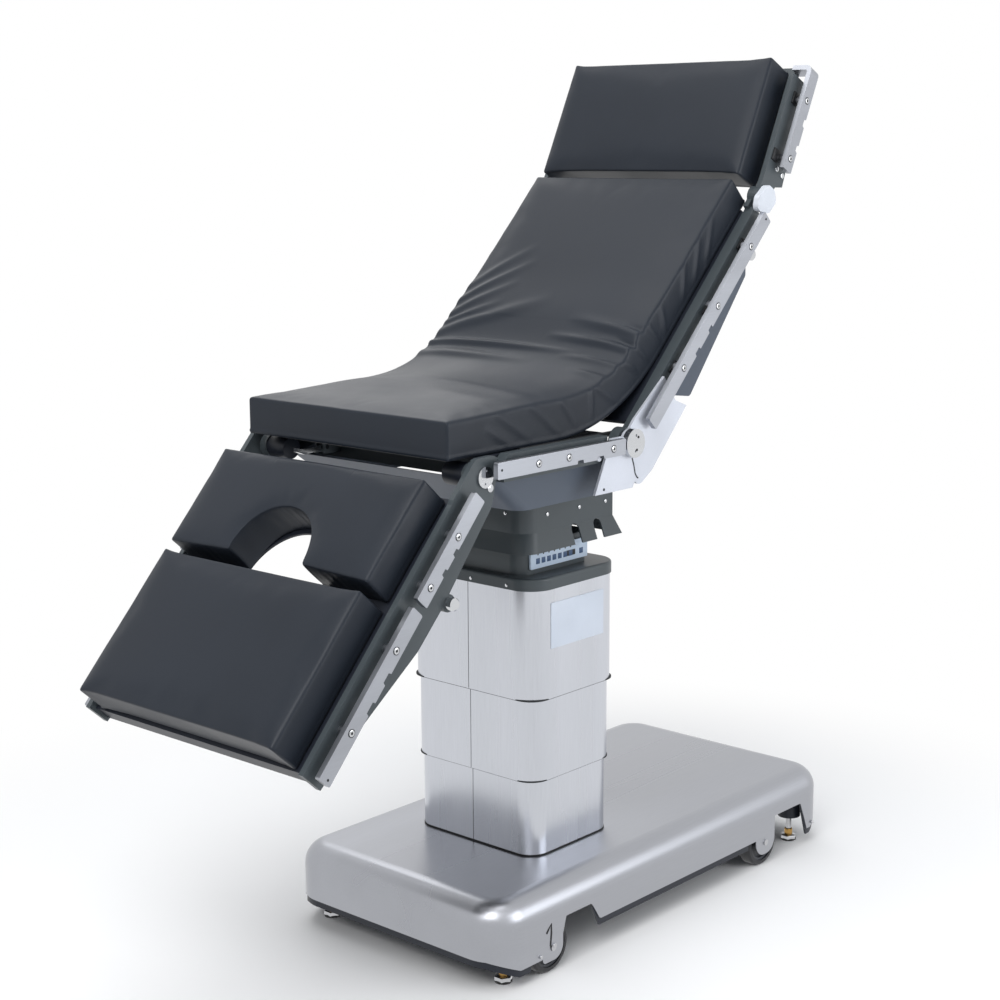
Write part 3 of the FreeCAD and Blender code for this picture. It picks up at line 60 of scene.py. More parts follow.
# The column's axis in the row frame, and how far each section leans at rest
COLUMN_X = JOINT["table_pitch"]["pos_m"][0] + 0.014
LEG_LEAN = math.radians(47.7)
BACK_LEAN = math.radians(45.3)
UPPER_LEAN = math.radians(64.0)

# Widths from the middle plane
PAD_HALF = 0.250
FRAME_OUT = 0.272
RAIL_OUT = 0.2942
PAD_THICK = 0.068


def section(joint, lean):
    """Where a hinged section lies: x along it, y across, z over it, from its hinge."""
    x, _, z = JOINT[joint]["pos_m"]
    return Matrix.Translation((x, 0, z)) @ Matrix.Rotation(-lean, 4, "Y")


AT_LEG = section("leg_fold", LEG_LEAN) @ Matrix.Translation((-0.0105, 0, 0.018))
AT_BACK = section("back_raise", BACK_LEAN)
AT_UPPER = section("upper_fold", UPPER_LEAN)
AT_COLUMN = Matrix.Translation((COLUMN_X, 0, 0))


# Colours, as the eye sees them

def paint(hex_code):
    """A colour written as the eye sees it, made linear for the shader."""
    channels = [int(hex_code[i:i + 2], 16) / 255 for i in (0, 2, 4)]
    return tuple(c / 12.92 if c <= 0.04045 else ((c + 0.055) / 1.055) ** 2.4 for c in channels) + (1,)


# Effects that several materials share

def new_group(name, inputs):
    """An empty effect with its inputs, and the colour, roughness and normal that it gives."""
    tree = bpy.data.node_groups.new(name, "ShaderNodeTree")
    for label, kind, value in inputs:
        socket = tree.interface.new_socket(label, in_out="INPUT", socket_type="NodeSocket" + kind)
        socket.default_value = value
    for label, kind in (("Colour", "Color"), ("Roughness", "Float"), ("Normal", "Vector")):
        tree.interface.new_socket(label, in_out="OUTPUT", socket_type="NodeSocket" + kind)
    return tree, tree.nodes.new("NodeGroupInput"), tree.nodes.new("NodeGroupOutput")


def node(tree, kind, settings=None, **inputs):
    """A shader node with settings; each input is a value or another node's socket."""
    made = tree.nodes.new("ShaderNode" + kind)
    for key, value in (settings or {}).items():
        setattr(made, key, value)
    for key, value in inputs.items():
        key = key.replace("_", " ")
        socket = made.inputs[int(key[2:])] if key.startswith("at") and key[2:].isdigit() else made.inputs[key]
        if isinstance(value, bpy.types.NodeSocket):
            tree.links.new(value, socket)
        else:
            socket.default_value = value
    return made


def tinted(tree, colour, dark, light, amount):
    """The colour, darker or lighter as the amount goes from 0 to 1."""
    scale = node(tree, "MapRange", Value=amount, To_Min=dark, To_Max=light)
    return node(tree, "VectorMath", {"operation": "SCALE"}, at0=colour, Scale=scale.outputs[0]).outputs[0]


def close_group(tree, out, colour, rough, bump):
    """Joins the three results to the effect's output."""
    for socket, name in ((colour, "Colour"), (rough.outputs[0], "Roughness"), (bump.outputs[0], "Normal")):
        tree.links.new(socket, out.inputs[name])
    return tree


def brushed_grain():
    """Fine parallel scratches along one axis, with slow clouding, for ground stainless steel."""
    tree, inside, out = new_group(
        "brushed grain",
        [("Colour", "Color", (0.7, 0.7, 0.7, 1)), ("Stretch", "Vector", (6, 260, 260)),
         ("Roughness", "Float", 0.3), ("Depth", "Float", 0.02)],
    )
    place = node(tree, "TexCoord").outputs["Object"]
    lines = node(tree, "VectorMath", {"operation": "MULTIPLY"}, at0=place, at1=inside.outputs["Stretch"])
    scratch = node(tree, "TexNoise", Vector=lines.outputs[0], Scale=4.0, Detail=3.0, Roughness=0.6)
    broad = node(tree, "VectorMath", {"operation": "SCALE"}, at0=lines.outputs[0], Scale=0.07)
    cloud = node(tree, "TexNoise", Vector=broad.outputs[0], Scale=1.0, Detail=2.0, Roughness=0.5)
    fine = tinted(tree, inside.outputs["Colour"], 0.92, 1.05, scratch.outputs["Fac"])
    colour = tinted(tree, fine, 0.86, 1.10, cloud.outputs["Fac"])
    smear = node(tree, "MapRange", Value=cloud.outputs["Fac"], From_Min=0.3, From_Max=0.7,
                 To_Min=-0.05, To_Max=0.07)
    rough = node(tree, "Math", {"operation": "ADD"}, at0=inside.outputs["Roughness"], at1=smear.outputs[0])
    bump = node(tree, "Bump", Strength=inside.outputs["Depth"], Distance=0.0004, Height=scratch.outputs["Fac"])
    return close_group(tree, out, colour, rough, bump)


def paint_skin():
    """Slight orange peel and dust on paint or moulded plastic, and paler rubbed edges."""
    tree, inside, out = new_group(
        "paint skin",
        [("Colour", "Color", (0.1, 0.1, 0.1, 1)), ("Peel size", "Float", 900.0), ("Roughness", "Float", 0.4),
         ("Depth", "Float", 0.15), ("Edge wear", "Float", 0.3)],
    )
    place = node(tree, "TexCoord").outputs["Object"]
    peel = node(tree, "TexNoise", Vector=place, Scale=inside.outputs["Peel size"], Detail=2.0)
    dust = node(tree, "TexNoise", Vector=place, Scale=9.0, Detail=6.0, Roughness=0.65)
    true = node(tree, "NewGeometry").outputs["Normal"]
    soft = node(tree, "Bevel", {"samples": 4}, Radius=0.0012).outputs[0]
    same = node(tree, "VectorMath", {"operation": "DOT_PRODUCT"}, at0=true, at1=soft).outputs["Value"]
    edge = node(tree, "MapRange", Value=same, From_Min=0.97, From_Max=0.8, To_Min=0.0, To_Max=1.0)
    broken = node(tree, "Math", {"operation": "MULTIPLY"}, at0=edge.outputs[0], at1=dust.outputs["Fac"])
    worn = node(tree, "Math", {"operation": "MULTIPLY"}, at0=broken.outputs[0], at1=inside.outputs["Edge wear"])
    base = tinted(tree, inside.outputs["Colour"], 0.90, 1.10, dust.outputs["Fac"])
    pale = node(tree, "VectorMath", {"operation": "SCALE"}, at0=base, Scale=2.4).outputs[0]
    colour = node(tree, "Mix", {"data_type": "RGBA"}, Factor=worn.outputs[0], at6=base, at7=pale).outputs[2]
    smear = node(tree, "MapRange", Value=dust.outputs["Fac"], To_Min=-0.06, To_Max=0.08)
    rough = node(tree, "Math", {"operation": "ADD"}, at0=inside.outputs["Roughness"], at1=smear.outputs[0])
    bump = node(tree, "Bump", Strength=inside.outputs["Depth"], Distance=0.0002, Height=peel.outputs["Fac"])
    return close_group(tree, out, colour, rough, bump)


def coated_cloth():
    """Leather-like embossing on coated fabric, with faint rubbing and slow shade changes."""
    tree, inside, out = new_group(
        "coated cloth",
        [("Colour", "Color", (0.04, 0.05, 0.06, 1)), ("Grain size", "Float", 700.0),
         ("Roughness", "Float", 0.42), ("Depth", "Float", 0.2)],
    )
    place = node(tree, "TexCoord").outputs["Object"]
    pores = node(tree, "TexVoronoi", Vector=place, Scale=inside.outputs["Grain size"], Randomness=1.0)
    crease = node(tree, "TexNoise", Vector=place, Scale=38.0, Detail=5.0, Roughness=0.6)
    rub = node(tree, "TexNoise", Vector=place, Scale=5.0, Detail=3.0)
    base = tinted(tree, inside.outputs["Colour"], 0.86, 1.16, rub.outputs["Fac"])
    colour = tinted(tree, base, 0.92, 1.06, pores.outputs["Distance"])
    smear = node(tree, "MapRange", Value=rub.outputs["Fac"], From_Min=0.3, From_Max=0.7,
                 To_Min=-0.05, To_Max=0.06)
    rough = node(tree, "Math", {"operation": "ADD"}, at0=inside.outputs["Roughness"], at1=smear.outputs[0])
    height = node(tree, "Math", {"operation": "MULTIPLY_ADD"}, at0=crease.outputs["Fac"], at1=2.5,
                  at2=pores.outputs["Distance"])
    bump = node(tree, "Bump", Strength=inside.outputs["Depth"], Distance=0.0005, Height=height.outputs[0])
    return close_group(tree, out, colour, rough, bump)


GRAIN = brushed_grain()
SKIN = paint_skin()
CLOTH = coated_cloth()


def surface(name, effect, colour, values, **shader):
    """A material: one effect in front of a Principled shader whose other sockets are constants."""
    made = bpy.data.materials.new(name)
    made.use_nodes = True
    tree = made.node_tree
    face = tree.nodes["Principled BSDF"]
    look = tree.nodes.new("ShaderNodeGroup")
    look.node_tree = effect
    look.inputs["Colour"].default_value = paint(colour)
    for key, value in values.items():
        look.inputs[key].default_value = value
    for key, value in shader.items():
        face.inputs[key.replace("_", " ")].default_value = value
    for given, taken in (("Colour", "Base Color"), ("Roughness", "Roughness"), ("Normal", "Normal")):
        tree.links.new(look.outputs[given], face.inputs[taken])
    return made


# How far the grain is drawn out, along X or Z, finely along X, or the same all ways
ALONG_X = (5, 131, 133)
ALONG_Z = (131, 133, 5)
FINE = (6, 260, 260)
EVEN = (120, 120, 120)


def steel(name, colour, rough, depth, stretch=FINE, metal=1.0, **shader):
    """A bare metal with brushed grain."""
    values = {"Stretch": stretch, "Roughness": rough, "Depth": depth}
    return surface(name, GRAIN, colour, values, Metallic=metal, **shader)


def coat(name, colour, rough, depth=0.15, wear=0.3, peel=900.0, **shader):
    """Paint or moulded plastic."""
    values = {"Roughness": rough, "Depth": depth, "Edge wear": wear, "Peel size": peel}
    return surface(name, SKIN, colour, values, **shader)


FINISH = {
    "base_steel": steel("brushed base steel", "a8aab0", 0.30, 0.006, ALONG_X, Anisotropic=0.4),
    "column_steel": steel("brushed column steel", "cdd0d7", 0.27, 0.006, ALONG_Z, Anisotropic=0.4),
    "rail_steel": steel("satin rail steel", "a7aab1", 0.32, 0.01, ALONG_X),
    "bright_steel": steel("ground steel", "b9babd", 0.26, 0.03),
    "satin_plate": steel("satin hinge plate", "c6cad3", 0.45, 0.03, EVEN, metal=0.6),
    "chrome": steel("bright chrome", "cfd1d4", 0.12, 0.0),
    "casting_grey": coat("grey-green paint", "40474b", 0.42, 0.12, Coat_Weight=0.1, Specular_IOR_Level=0.35),
    "housing_blue": coat("blue-grey moulding", "4c5460", 0.45, wear=0.1, peel=1400.0, Specular_IOR_Level=0.35),
    "dark_paint": coat("navy-black paint", "20242d", 0.42, wear=0.15, Specular_IOR_Level=0.3),
    "panel_plastic": coat("panel film", "b9c9db", 0.35, 0.03, 0.0),
    "white_cap": coat("white moulding", "cfd4dc", 0.32, 0.03, 0.0),
    "wheel_rubber": coat("wheel rubber", "1d1e22", 0.62, 0.3, 0.05),
    "wheel_plastic": coat("wheel hub plastic", "33363c", 0.48),
    "cushion_cover": surface("coated cushion cloth", CLOTH, "22272f", {"Roughness": 0.38, "Depth": 0.10},
                             Specular_IOR_Level=0.20),
}
BRASS = steel("turned brass", "a8854d", 0.28, 0.03)
BLACK = coat("black moulding", "131417", 0.45, wear=0.05, Specular_IOR_Level=0.3)
# Dark seam lines, holes, sockets and printed marks; also the dark rings in the column's sleeve steps, which are
# painted shadow
DARK_MARKS_AND_SHADOW = coat("dark marks and painted shadow", "303234", 0.6, wear=0.0, Specular_IOR_Level=0.2)
KEY_BLUE = coat("dark blue keys", "27486e", 0.4, 0.03, 0.0)
LABEL = coat("blank label film", "c4ccd8", 0.32, 0.03, 0.0)
SOLE = coat("black sole", "151617", 0.7, 0.3, 0.0)


def dress_cad_nodes():
    """Each CAD node shows the finish of its material slot, but the neck housing shows the grey-green paint; the
    mesh itself stays as it is.
    """
    for name, thing in frame["nodes"].items():
        for slot in thing.material_slots:
            slot.link = "OBJECT"
            slot.material = FINISH["casting_grey" if name == "neck_housing" else SLOT_OF[name]]


# Making pieces

def mesh_of(name, shape):
    """The bmesh as a mesh of its own."""
    mesh = bpy.data.meshes.new(name)
    shape.to_mesh(mesh)
    shape.free()
    return mesh


def in_scene(name, data):
    """A new object in the scene, at the origin."""
    made = bpy.data.objects.new(name, data)
    bpy.context.scene.collection.objects.link(made)
    return made


def piece(name, shape, finish, body, where=None, sharp=35):
    """Turns a bmesh into a finished object in the row frame that moves with a body."""
    if where is not None:
        shape.transform(where)
    bmesh.ops.remove_doubles(shape, verts=shape.verts, dist=1e-6)
    bmesh.ops.recalc_face_normals(shape, faces=shape.faces)
    mesh = mesh_of(name, shape)
    mesh.shade_smooth()
    mesh.set_sharp_from_angle(angle=math.radians(sharp))
    mesh.materials.append(finish)
    made = in_scene(name, mesh)
    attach(made, body)
    return made


def round_edges(shape, edges, offset):
    """Bevels edges with two even segments."""
    bmesh.ops.bevel(shape, geom=edges, offset=offset, segments=2, profile=0.5, affect="EDGES", material=-1)


def add_block(shape, low, high, bevel=0.0):
    """A box between two corners, with rounded edges."""
    size = [b - a for a, b in zip(low, high)]
    middle = [(a + b) / 2 for a, b in zip(low, high)]
    place = Matrix.Translation(middle) @ Matrix.Diagonal((*size, 1))
    new = bmesh.ops.create_cube(shape, size=1, matrix=place)["verts"]
    if bevel:
        round_edges(shape, list({edge for vert in new for edge in vert.link_edges}), bevel)


def add_round(shape, centre, radius, length, axis="Y", sides=24, bevel=0.0):
    """A cylinder centred on a point; its two rims are rounded by bevel."""
    turn = {"X": Matrix.Rotation(math.pi / 2, 4, "Y"), "Y": Matrix.Rotation(math.pi / 2, 4, "X"),
            "Z": Matrix.Identity(4)}[axis]
    place = Matrix.Translation(centre) @ turn
    new = bmesh.ops.create_cone(shape, cap_ends=True, segments=sides, radius1=radius, radius2=radius,
                                depth=length, matrix=place)["verts"]
    if bevel:
        rims = {e for v in new for e in v.link_edges if len(e.link_faces) == 2
                and any(len(f.verts) > 4 for f in e.link_faces)}
        round_edges(shape, list(rims), bevel)


def add_plan(shape, outline, low, high, axis="Z", hole=None):
    """A plate from its outline, straight from one level to another along Z or Y, or a ring round a hole."""
    spot = (lambda p, level: (p[0], p[1], level)) if axis == "Z" else (lambda p, level: (p[0], level, p[1]))
    rings = [[shape.verts.new(spot(p, level)) for p in outline] for level in (low, high)]
    if hole:
        rings += [[shape.verts.new(spot(p, level)) for p in hole] for level in (high, low)]
    else:
        for ring in rings:
            shape.faces.new(ring)
    for first, second in zip(rings, rings[1:] + rings[:1] if hole else rings[1:]):
        for i in range(len(outline)):
            j = (i + 1) % len(outline)
            shape.faces.new((first[i], first[j], second[j], second[i]))


def rounded_plan(half_x, half_y, corner, steps=8):
    """Outline of a rectangle about the origin with round corners."""
    points = []
    for turn, (sx, sy) in enumerate(((1, 1), (-1, 1), (-1, -1), (1, -1))):
        for i in range(steps + 1):
            angle = (turn + i / steps) * math.pi / 2
            points.append((sx * (half_x - corner) + corner * math.cos(angle),
                           sy * (half_y - corner) + corner * math.sin(angle)))
    return points


def stroke(points, half):
    """Outline of a narrow strip of even width along a line of points."""
    left, right = [], []
    for i, point in enumerate(points):
        a, b = Vector(points[max(0, i - 1)]), Vector(points[min(len(points) - 1, i + 1)])
        along = (b - a).normalized()
        away = Vector((-along.y, along.x)) * half
        left.append(tuple(Vector(point) + away))
        right.append(tuple(Vector(point) - away))
    return left + right[::-1]


def both_sides(shape):
    """Adds the mirror image across the middle plane."""
    geometry = shape.verts[:] + shape.edges[:] + shape.faces[:]
    bmesh.ops.mirror(shape, geom=geometry, axis="Y", merge_dist=-1)


# Padded cushions

CLOTH_FRAMES = 20
CUTOUT_RADIUS = 0.095
TOUCHING = 1e-6
EDGE_ROW = 0.003
EDGE_BAND = 0.007
CORNER_TUCK = 0.0014
# Darts in the wall of the half-round opening
DART_DEPTH = 0.0012
DART_RATE = 340


def stations(low, high, step):
    """Places from end to end, closer together at both ends for the rounded edges."""
    first, last = low + EDGE_BAND, high - EDGE_BAND
    count = max(1, round((last - first) / step))
    middle = [first + (last - first) * i / count for i in range(count + 1)]
    return [low, low + EDGE_ROW] + middle + [high - EDGE_ROW, high]


def grid_solid(xs, ys, zs):
    """A closed box whose six faces are grids that share their edges."""
    shape = bmesh.new()
    spots = {}

    def at(*key):
        if key not in spots:
            spots[key] = shape.verts.new((xs[key[0]], ys[key[1]], zs[key[2]]))
        return spots[key]

    a, b, c = len(xs) - 1, len(ys) - 1, len(zs) - 1
    for i in range(a):
        for j in range(b):
            for k in (0, c):
                shape.faces.new((at(i, j, k), at(i + 1, j, k), at(i + 1, j + 1, k), at(i, j + 1, k)))
        for k in range(c):
            for j in (0, b):
                shape.faces.new((at(i, j, k), at(i + 1, j, k), at(i + 1, j, k + 1), at(i, j, k + 1)))
    for j in range(b):
        for k in range(c):
            for i in (0, a):
                shape.faces.new((at(i, j, k), at(i, j + 1, k), at(i, j + 1, k + 1), at(i, j, k + 1)))
    return shape


def arc_shift(first, second, radius):
    """How far a point moves from two faces of a box, so that their edge becomes an arc."""
    if min(first, second) > TOUCHING or max(first, second) >= radius:
        return 0.0, 0.0
    angle = math.pi / 4 * (1 - max(first, second) / radius)
    near, far = radius * (1 - math.cos(angle)), radius * (1 - math.sin(angle))
    if second <= first:
        return far - first, near - second
    return near - first, far - second


def round_pad(shape, xs, ys, zs, long_edge=0.007, end_edge=0.003):
    """Rounds the top's long edges and, less, its end edges; presses the upright corner seams in."""
    for vert in shape.verts:
        x, y, z = vert.co
        from_x, from_y, from_z = min(x - xs[0], xs[-1] - x), min(y - ys[0], ys[-1] - y), zs[-1] - z
        sign_x, sign_y = (1 if x - xs[0] < xs[-1] - x else -1), (1 if y - ys[0] < ys[-1] - y else -1)
        move_y, drop = arc_shift(from_y, from_z, long_edge)
        move_x, drop_end = arc_shift(from_x, from_z, end_edge)
        if from_x < TOUCHING and from_y < TOUCHING:
            move_x += CORNER_TUCK
            move_y += CORNER_TUCK
        vert.co = (x + sign_x * move_x, y + sign_y * move_y, z - drop - drop_end)


def bake_modifiers(thing):
    """Keeps the shape that the modifiers give and takes them off."""
    graph = bpy.context.evaluated_depsgraph_get()
    mesh = bpy.data.meshes.new_from_object(thing.evaluated_get(graph))
    old = thing.data
    thing.modifiers.clear()
    thing.data = mesh
    bpy.data.meshes.remove(old)


def settle(thing, pressure, cap, flat_below):
    """Blows a pad up as cloth, within limits, and keeps its underside flat."""
    rest = [vert.co.copy() for vert in thing.data.vertices]
    cloth = thing.modifiers.new("cover", "CLOTH")
    cloth.settings.use_pressure = True
    cloth.settings.uniform_pressure_force = pressure
    cloth.settings.quality = 5
    cloth.settings.effector_weights.gravity = 0
    for step in range(1, CLOTH_FRAMES + 1):
        bpy.context.scene.frame_set(step)
    bake_modifiers(thing)
    bpy.context.scene.frame_set(1)
    for vert, start in zip(thing.data.vertices, rest):
        move = vert.co - start
        if move.length > cap:
            move *= cap / move.length
        if start.z < flat_below:
            move.z = 0.0
        vert.co = start + move


def soften(thing):
    """Divides the faces once and rounds them."""
    smooth = thing.modifiers.new("softer faces", "SUBSURF")
    smooth.levels = smooth.render_levels = 1
    bake_modifiers(thing)
    thing.data.shade_smooth()


def raw_pad(name, shape):
    """A pad's starting solid as a plain object, not yet in place."""
    bmesh.ops.recalc_face_normals(shape, faces=shape.faces)
    return in_scene(name, mesh_of(name, shape))


def crown(thing, start, end, thick, rise):
    """Raises the top's middle a little, so that it isn't a plane."""
    for vert in thing.data.vertices:
        across = max(0.0, 1 - (vert.co.y / PAD_HALF) ** 2)
        along = max(0.0, 1 - ((2 * vert.co.x - start - end) / (end - start)) ** 4)
        vert.co.z += rise * across * along * max(0.0, vert.co.z / thick)


def hem(thing, level, reach=0.0011):
    """A welt round the foot of the sides, where top and bottom cloth are sewn together."""
    xs, ys = [v.co.x for v in thing.data.vertices], [v.co.y for v in thing.data.vertices]
    first, last, side = min(xs) + 0.006, max(xs) - 0.006, max(ys) - 0.006
    for vert in thing.data.vertices:
        bump = reach * math.exp(-(((vert.co.z - level) / 0.0022) ** 2))
        if abs(vert.co.y) > side:
            vert.co.y += math.copysign(bump, vert.co.y)
        if vert.co.x < first or vert.co.x > last:
            vert.co.x += math.copysign(bump, vert.co.x - (first + last) / 2)


def small_pad(name, node_name, body, where, start, end, low, thick, cutout=False):
    """One of the shorter cushions, made flat, settled as cloth and put in its place."""
    half = PAD_HALF - 0.002
    xs, zs = stations(start + 0.002, end - 0.002, 0.010), stations(0.001, thick - 0.002, 0.011)
    ys = stations(-half, half, 0.010)
    if cutout:
        side = stations(CUTOUT_RADIUS, half, 0.010)
        curve = [CUTOUT_RADIUS * math.sin(math.pi * i / 40) for i in range(1, 20)]
        ys = [-y for y in side[::-1]] + [-y for y in curve[::-1]] + [0.0] + curve + side
    shape = grid_solid(xs, ys, zs)
    round_pad(shape, xs, ys, zs)
    if cutout:
        for vert in shape.verts:
            inset = math.sqrt(max(0.0, CUTOUT_RADIUS ** 2 - vert.co.y ** 2))
            share = (vert.co.x - xs[0]) / (xs[-1] - xs[0])
            vert.co.x += inset * (1 - share)
            if share < 0.001:
                vert.co.x += DART_DEPTH * math.sin(vert.co.y * DART_RATE) * math.sin(math.pi * vert.co.z / thick)
    thing = raw_pad(name, shape)
    settle(thing, 4.0, 0.005, 0.008)
    crown(thing, start, end, thick, 0.004)
    soften(thing)
    hem(thing, 0.006)
    thing.data.transform(where @ Matrix.Translation((0, 0, low)))
    thing.data.materials.append(FINISH["cushion_cover"])
    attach(thing, body)
    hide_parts(node_name)


# Undersides and thickness of the short pads, each in its own section
LEG_LOW = 0.0051
LEG_THICK = 0.069
UPPER_LOW = -0.0145
UPPER_THICK = 0.0705


def short_cushions():
    """The pad with the half-round opening, the plain one at the leg end, and the upper back's."""
    small_pad("cutout_pad", "cutout_cushion", "leg", AT_LEG, -0.253, -0.052, LEG_LOW, LEG_THICK, True)
    small_pad("leg_end_pad", "leg_end_cushion", "leg", AT_LEG, -0.559, -0.267, LEG_LOW, LEG_THICK)
    small_pad("upper_pad", "upper_cushion", "upper_back", AT_UPPER, 0.020, 0.268, UPPER_LOW, UPPER_THICK)


# The long cushion over seat and back, one piece bent over the back hinge
SEAT_END = -0.438
BACK_END = 0.582
BEND_REACH = 0.195
SEAT_LIFT = 0.0159
BACK_LIFT = 0.0020

# Folds of the loose cover on its top: (along, across) at both ends, width and height
FOLDS = [
    ((0.104, 0.252), (0.100, -0.150), 0.009, 0.0065), ((0.060, 0.252), (0.045, -0.060), 0.016, 0.0050),
    ((0.135, 0.252), (0.250, -0.010), 0.015, 0.0050), ((0.165, 0.252), (0.235, 0.110), 0.008, 0.0035),
    ((0.190, 0.252), (0.290, 0.100), 0.009, 0.0035), ((0.225, 0.252), (0.345, 0.090), 0.009, 0.0040),
    ((0.262, 0.252), (0.385, 0.110), 0.010, 0.0030),
    ((0.132, -0.262), (0.150, -0.040), 0.011, 0.0070), ((0.176, -0.262), (0.205, -0.070), 0.014, 0.0060),
    ((0.075, -0.262), (0.085, -0.100), 0.010, 0.0040), ((0.020, -0.262), (0.030, -0.150), 0.012, 0.0030),
    ((0.145, -0.262), (0.158, -0.195), 0.006, -0.0050), ((0.190, -0.262), (0.200, -0.205), 0.006, -0.0050),
    ((-0.205, -0.200), (-0.130, 0.150), 0.022, 0.0016), ((-0.270, -0.180), (-0.230, 0.160), 0.024, 0.0014),
]
# Ridges on both sides: (along, height) at both ends
SIDE_RIDGES = [
    ((-0.332, 0.039), (-0.275, 0.008)), ((-0.313, 0.062), (-0.230, 0.014)), ((-0.235, 0.070), (-0.150, 0.014)),
    ((-0.150, 0.076), (-0.098, 0.020)), ((-0.026, 0.074), (-0.045, 0.020)), ((-0.026, 0.074), (0.040, 0.012)),
    ((0.100, 0.062), (0.122, 0.030)), ((0.150, 0.070), (0.165, 0.020)), ((0.212, 0.068), (0.211, 0.015)),
    ((0.261, 0.056), (0.238, 0.015)), ((0.366, 0.065), (0.318, 0.020)), ((0.425, 0.060), (0.361, 0.014)),
    ((0.476, 0.055), (0.406, 0.009)),
]
RIDGE_PUSH = 0.0056
RIDGE_WIDTH = 0.0060
# Where the top swells beside the bend: (along, reach, height)
SWELLS = ((-0.17, 0.16, 0.009), (0.21, 0.07, 0.005))


def bend_point(along):
    """Underside of the long cushion and its slope, at a distance along it from the hinge."""
    seat = AT_BACK.translation + Vector((0, 0, SEAT_LIFT))
    turn = Matrix.Rotation(-BACK_LEAN, 3, "Y")
    up_back = turn @ Vector((1, 0, 0))
    back = AT_BACK.translation + turn @ Vector((0, 0, BACK_LIFT))
    flat = Vector((1, 0, 0))
    if along <= -BEND_REACH:
        return seat + flat * along, flat
    if along >= BEND_REACH:
        return back + up_back * along, up_back
    share = (along / BEND_REACH + 1) / 2
    first = seat - flat * BEND_REACH
    last = back + up_back * BEND_REACH
    knee = (seat + back) / 2
    spot = first * (1 - share) ** 2 + knee * 2 * share * (1 - share) + last * share ** 2
    slope = ((knee - first) * (1 - share) + (last - knee) * share).normalized()
    return spot, slope


def ridge(spot, start, end, width, fading=True):
    """How strongly a fold from start to end shows at a point, from 0 to 1."""
    a, p = Vector(start), Vector(spot)
    line = Vector(end) - a
    share = max(0.0, min(1.0, (p - a).dot(line) / line.length_squared))
    away = (p - a - line * share).length
    strength = math.sin(math.pi * (0.25 + share * 0.75)) if fading else math.sin(math.pi * (0.15 + share * 0.7))
    return math.exp(-((away / width) ** 2)) * max(0.0, strength)


def crease_cover(thing):
    """Raises folds on the top near the hinge and ridges on both sides."""
    for vert in thing.data.vertices:
        x, y, z = vert.co
        top = max(0.0, min(1.0, (z - 0.035) / 0.025))
        swell = sum(height * math.exp(-(((x - along) / reach) ** 2)) for along, reach, height in SWELLS)
        vert.co.z += max(0.0, z / PAD_THICK) * swell
        if top:
            vert.co.z += top * sum(h * ridge((x, y), a, b, w) for a, b, w, h in FOLDS)
        side = max(0.0, (abs(y) - PAD_HALF + 0.016) / 0.016)
        if side:
            push = sum(RIDGE_PUSH * ridge((x, z), a, b, RIDGE_WIDTH, False) for a, b in SIDE_RIDGES)
            vert.co.y += math.copysign(push * min(1.0, side), y)


def long_cushion():
    """Seat and back cushion: made straight, settled, creased and then bent over the hinge."""
    half = PAD_HALF - 0.003
    xs, ys = stations(SEAT_END + 0.001, BACK_END - 0.002, 0.009), stations(-half, half, 0.009)
    zs = stations(0.001, PAD_THICK - 0.003, 0.010)
    shape = grid_solid(xs, ys, zs)
    round_pad(shape, xs, ys, zs)
    thing = raw_pad("seat_back_pad", shape)
    settle(thing, 4.0, 0.006, 0.008)
    crown(thing, SEAT_END, BACK_END, PAD_THICK, 0.006)
    soften(thing)
    hem(thing, 0.006)
    crease_cover(thing)
    for vert in thing.data.vertices:
        along, across, over = vert.co
        spot, slope = bend_point(along)
        place = spot + Vector((-slope.z, 0, slope.x)) * over
        vert.co = (place.x, across, place.z)
    thing.data.shade_smooth()
    thing.data.materials.append(FINISH["cushion_cover"])
    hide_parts("seat_cushion", "back_cushion")
    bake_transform(thing)


# Details that stand on the CAD's pieces

COLLAR_HALF_X = 0.1289
SLEEVES = (("lower", "base", 0.1166, 0.160, 0.307), ("middle", "middle_stage", 0.1215, 0.307, 0.4635),
           ("upper", "upper_stage", 0.1264, 0.4636, 0.670))
# Dark rings in the steps under the middle and upper sleeves' lower edges: painted shadow of each edge
STEP_SHADE_RINGS = (("middle_step_shade", "middle_stage", 0.0, 0.307), ("upper_step_shade", "upper_stage", 0.0049, 0.4636))
RING_CORNER = 0.038


def sleeve_ring(half_x, half_y, width, low, high, corner=RING_CORNER):
    """A ring round a sleeve, from the inner half widths and corner of its hole."""
    shape = bmesh.new()
    outer = rounded_plan(half_x + width, half_y + width, RING_CORNER)
    add_plan(shape, outer, low, high, hole=rounded_plan(half_x, half_y, corner))
    return shape


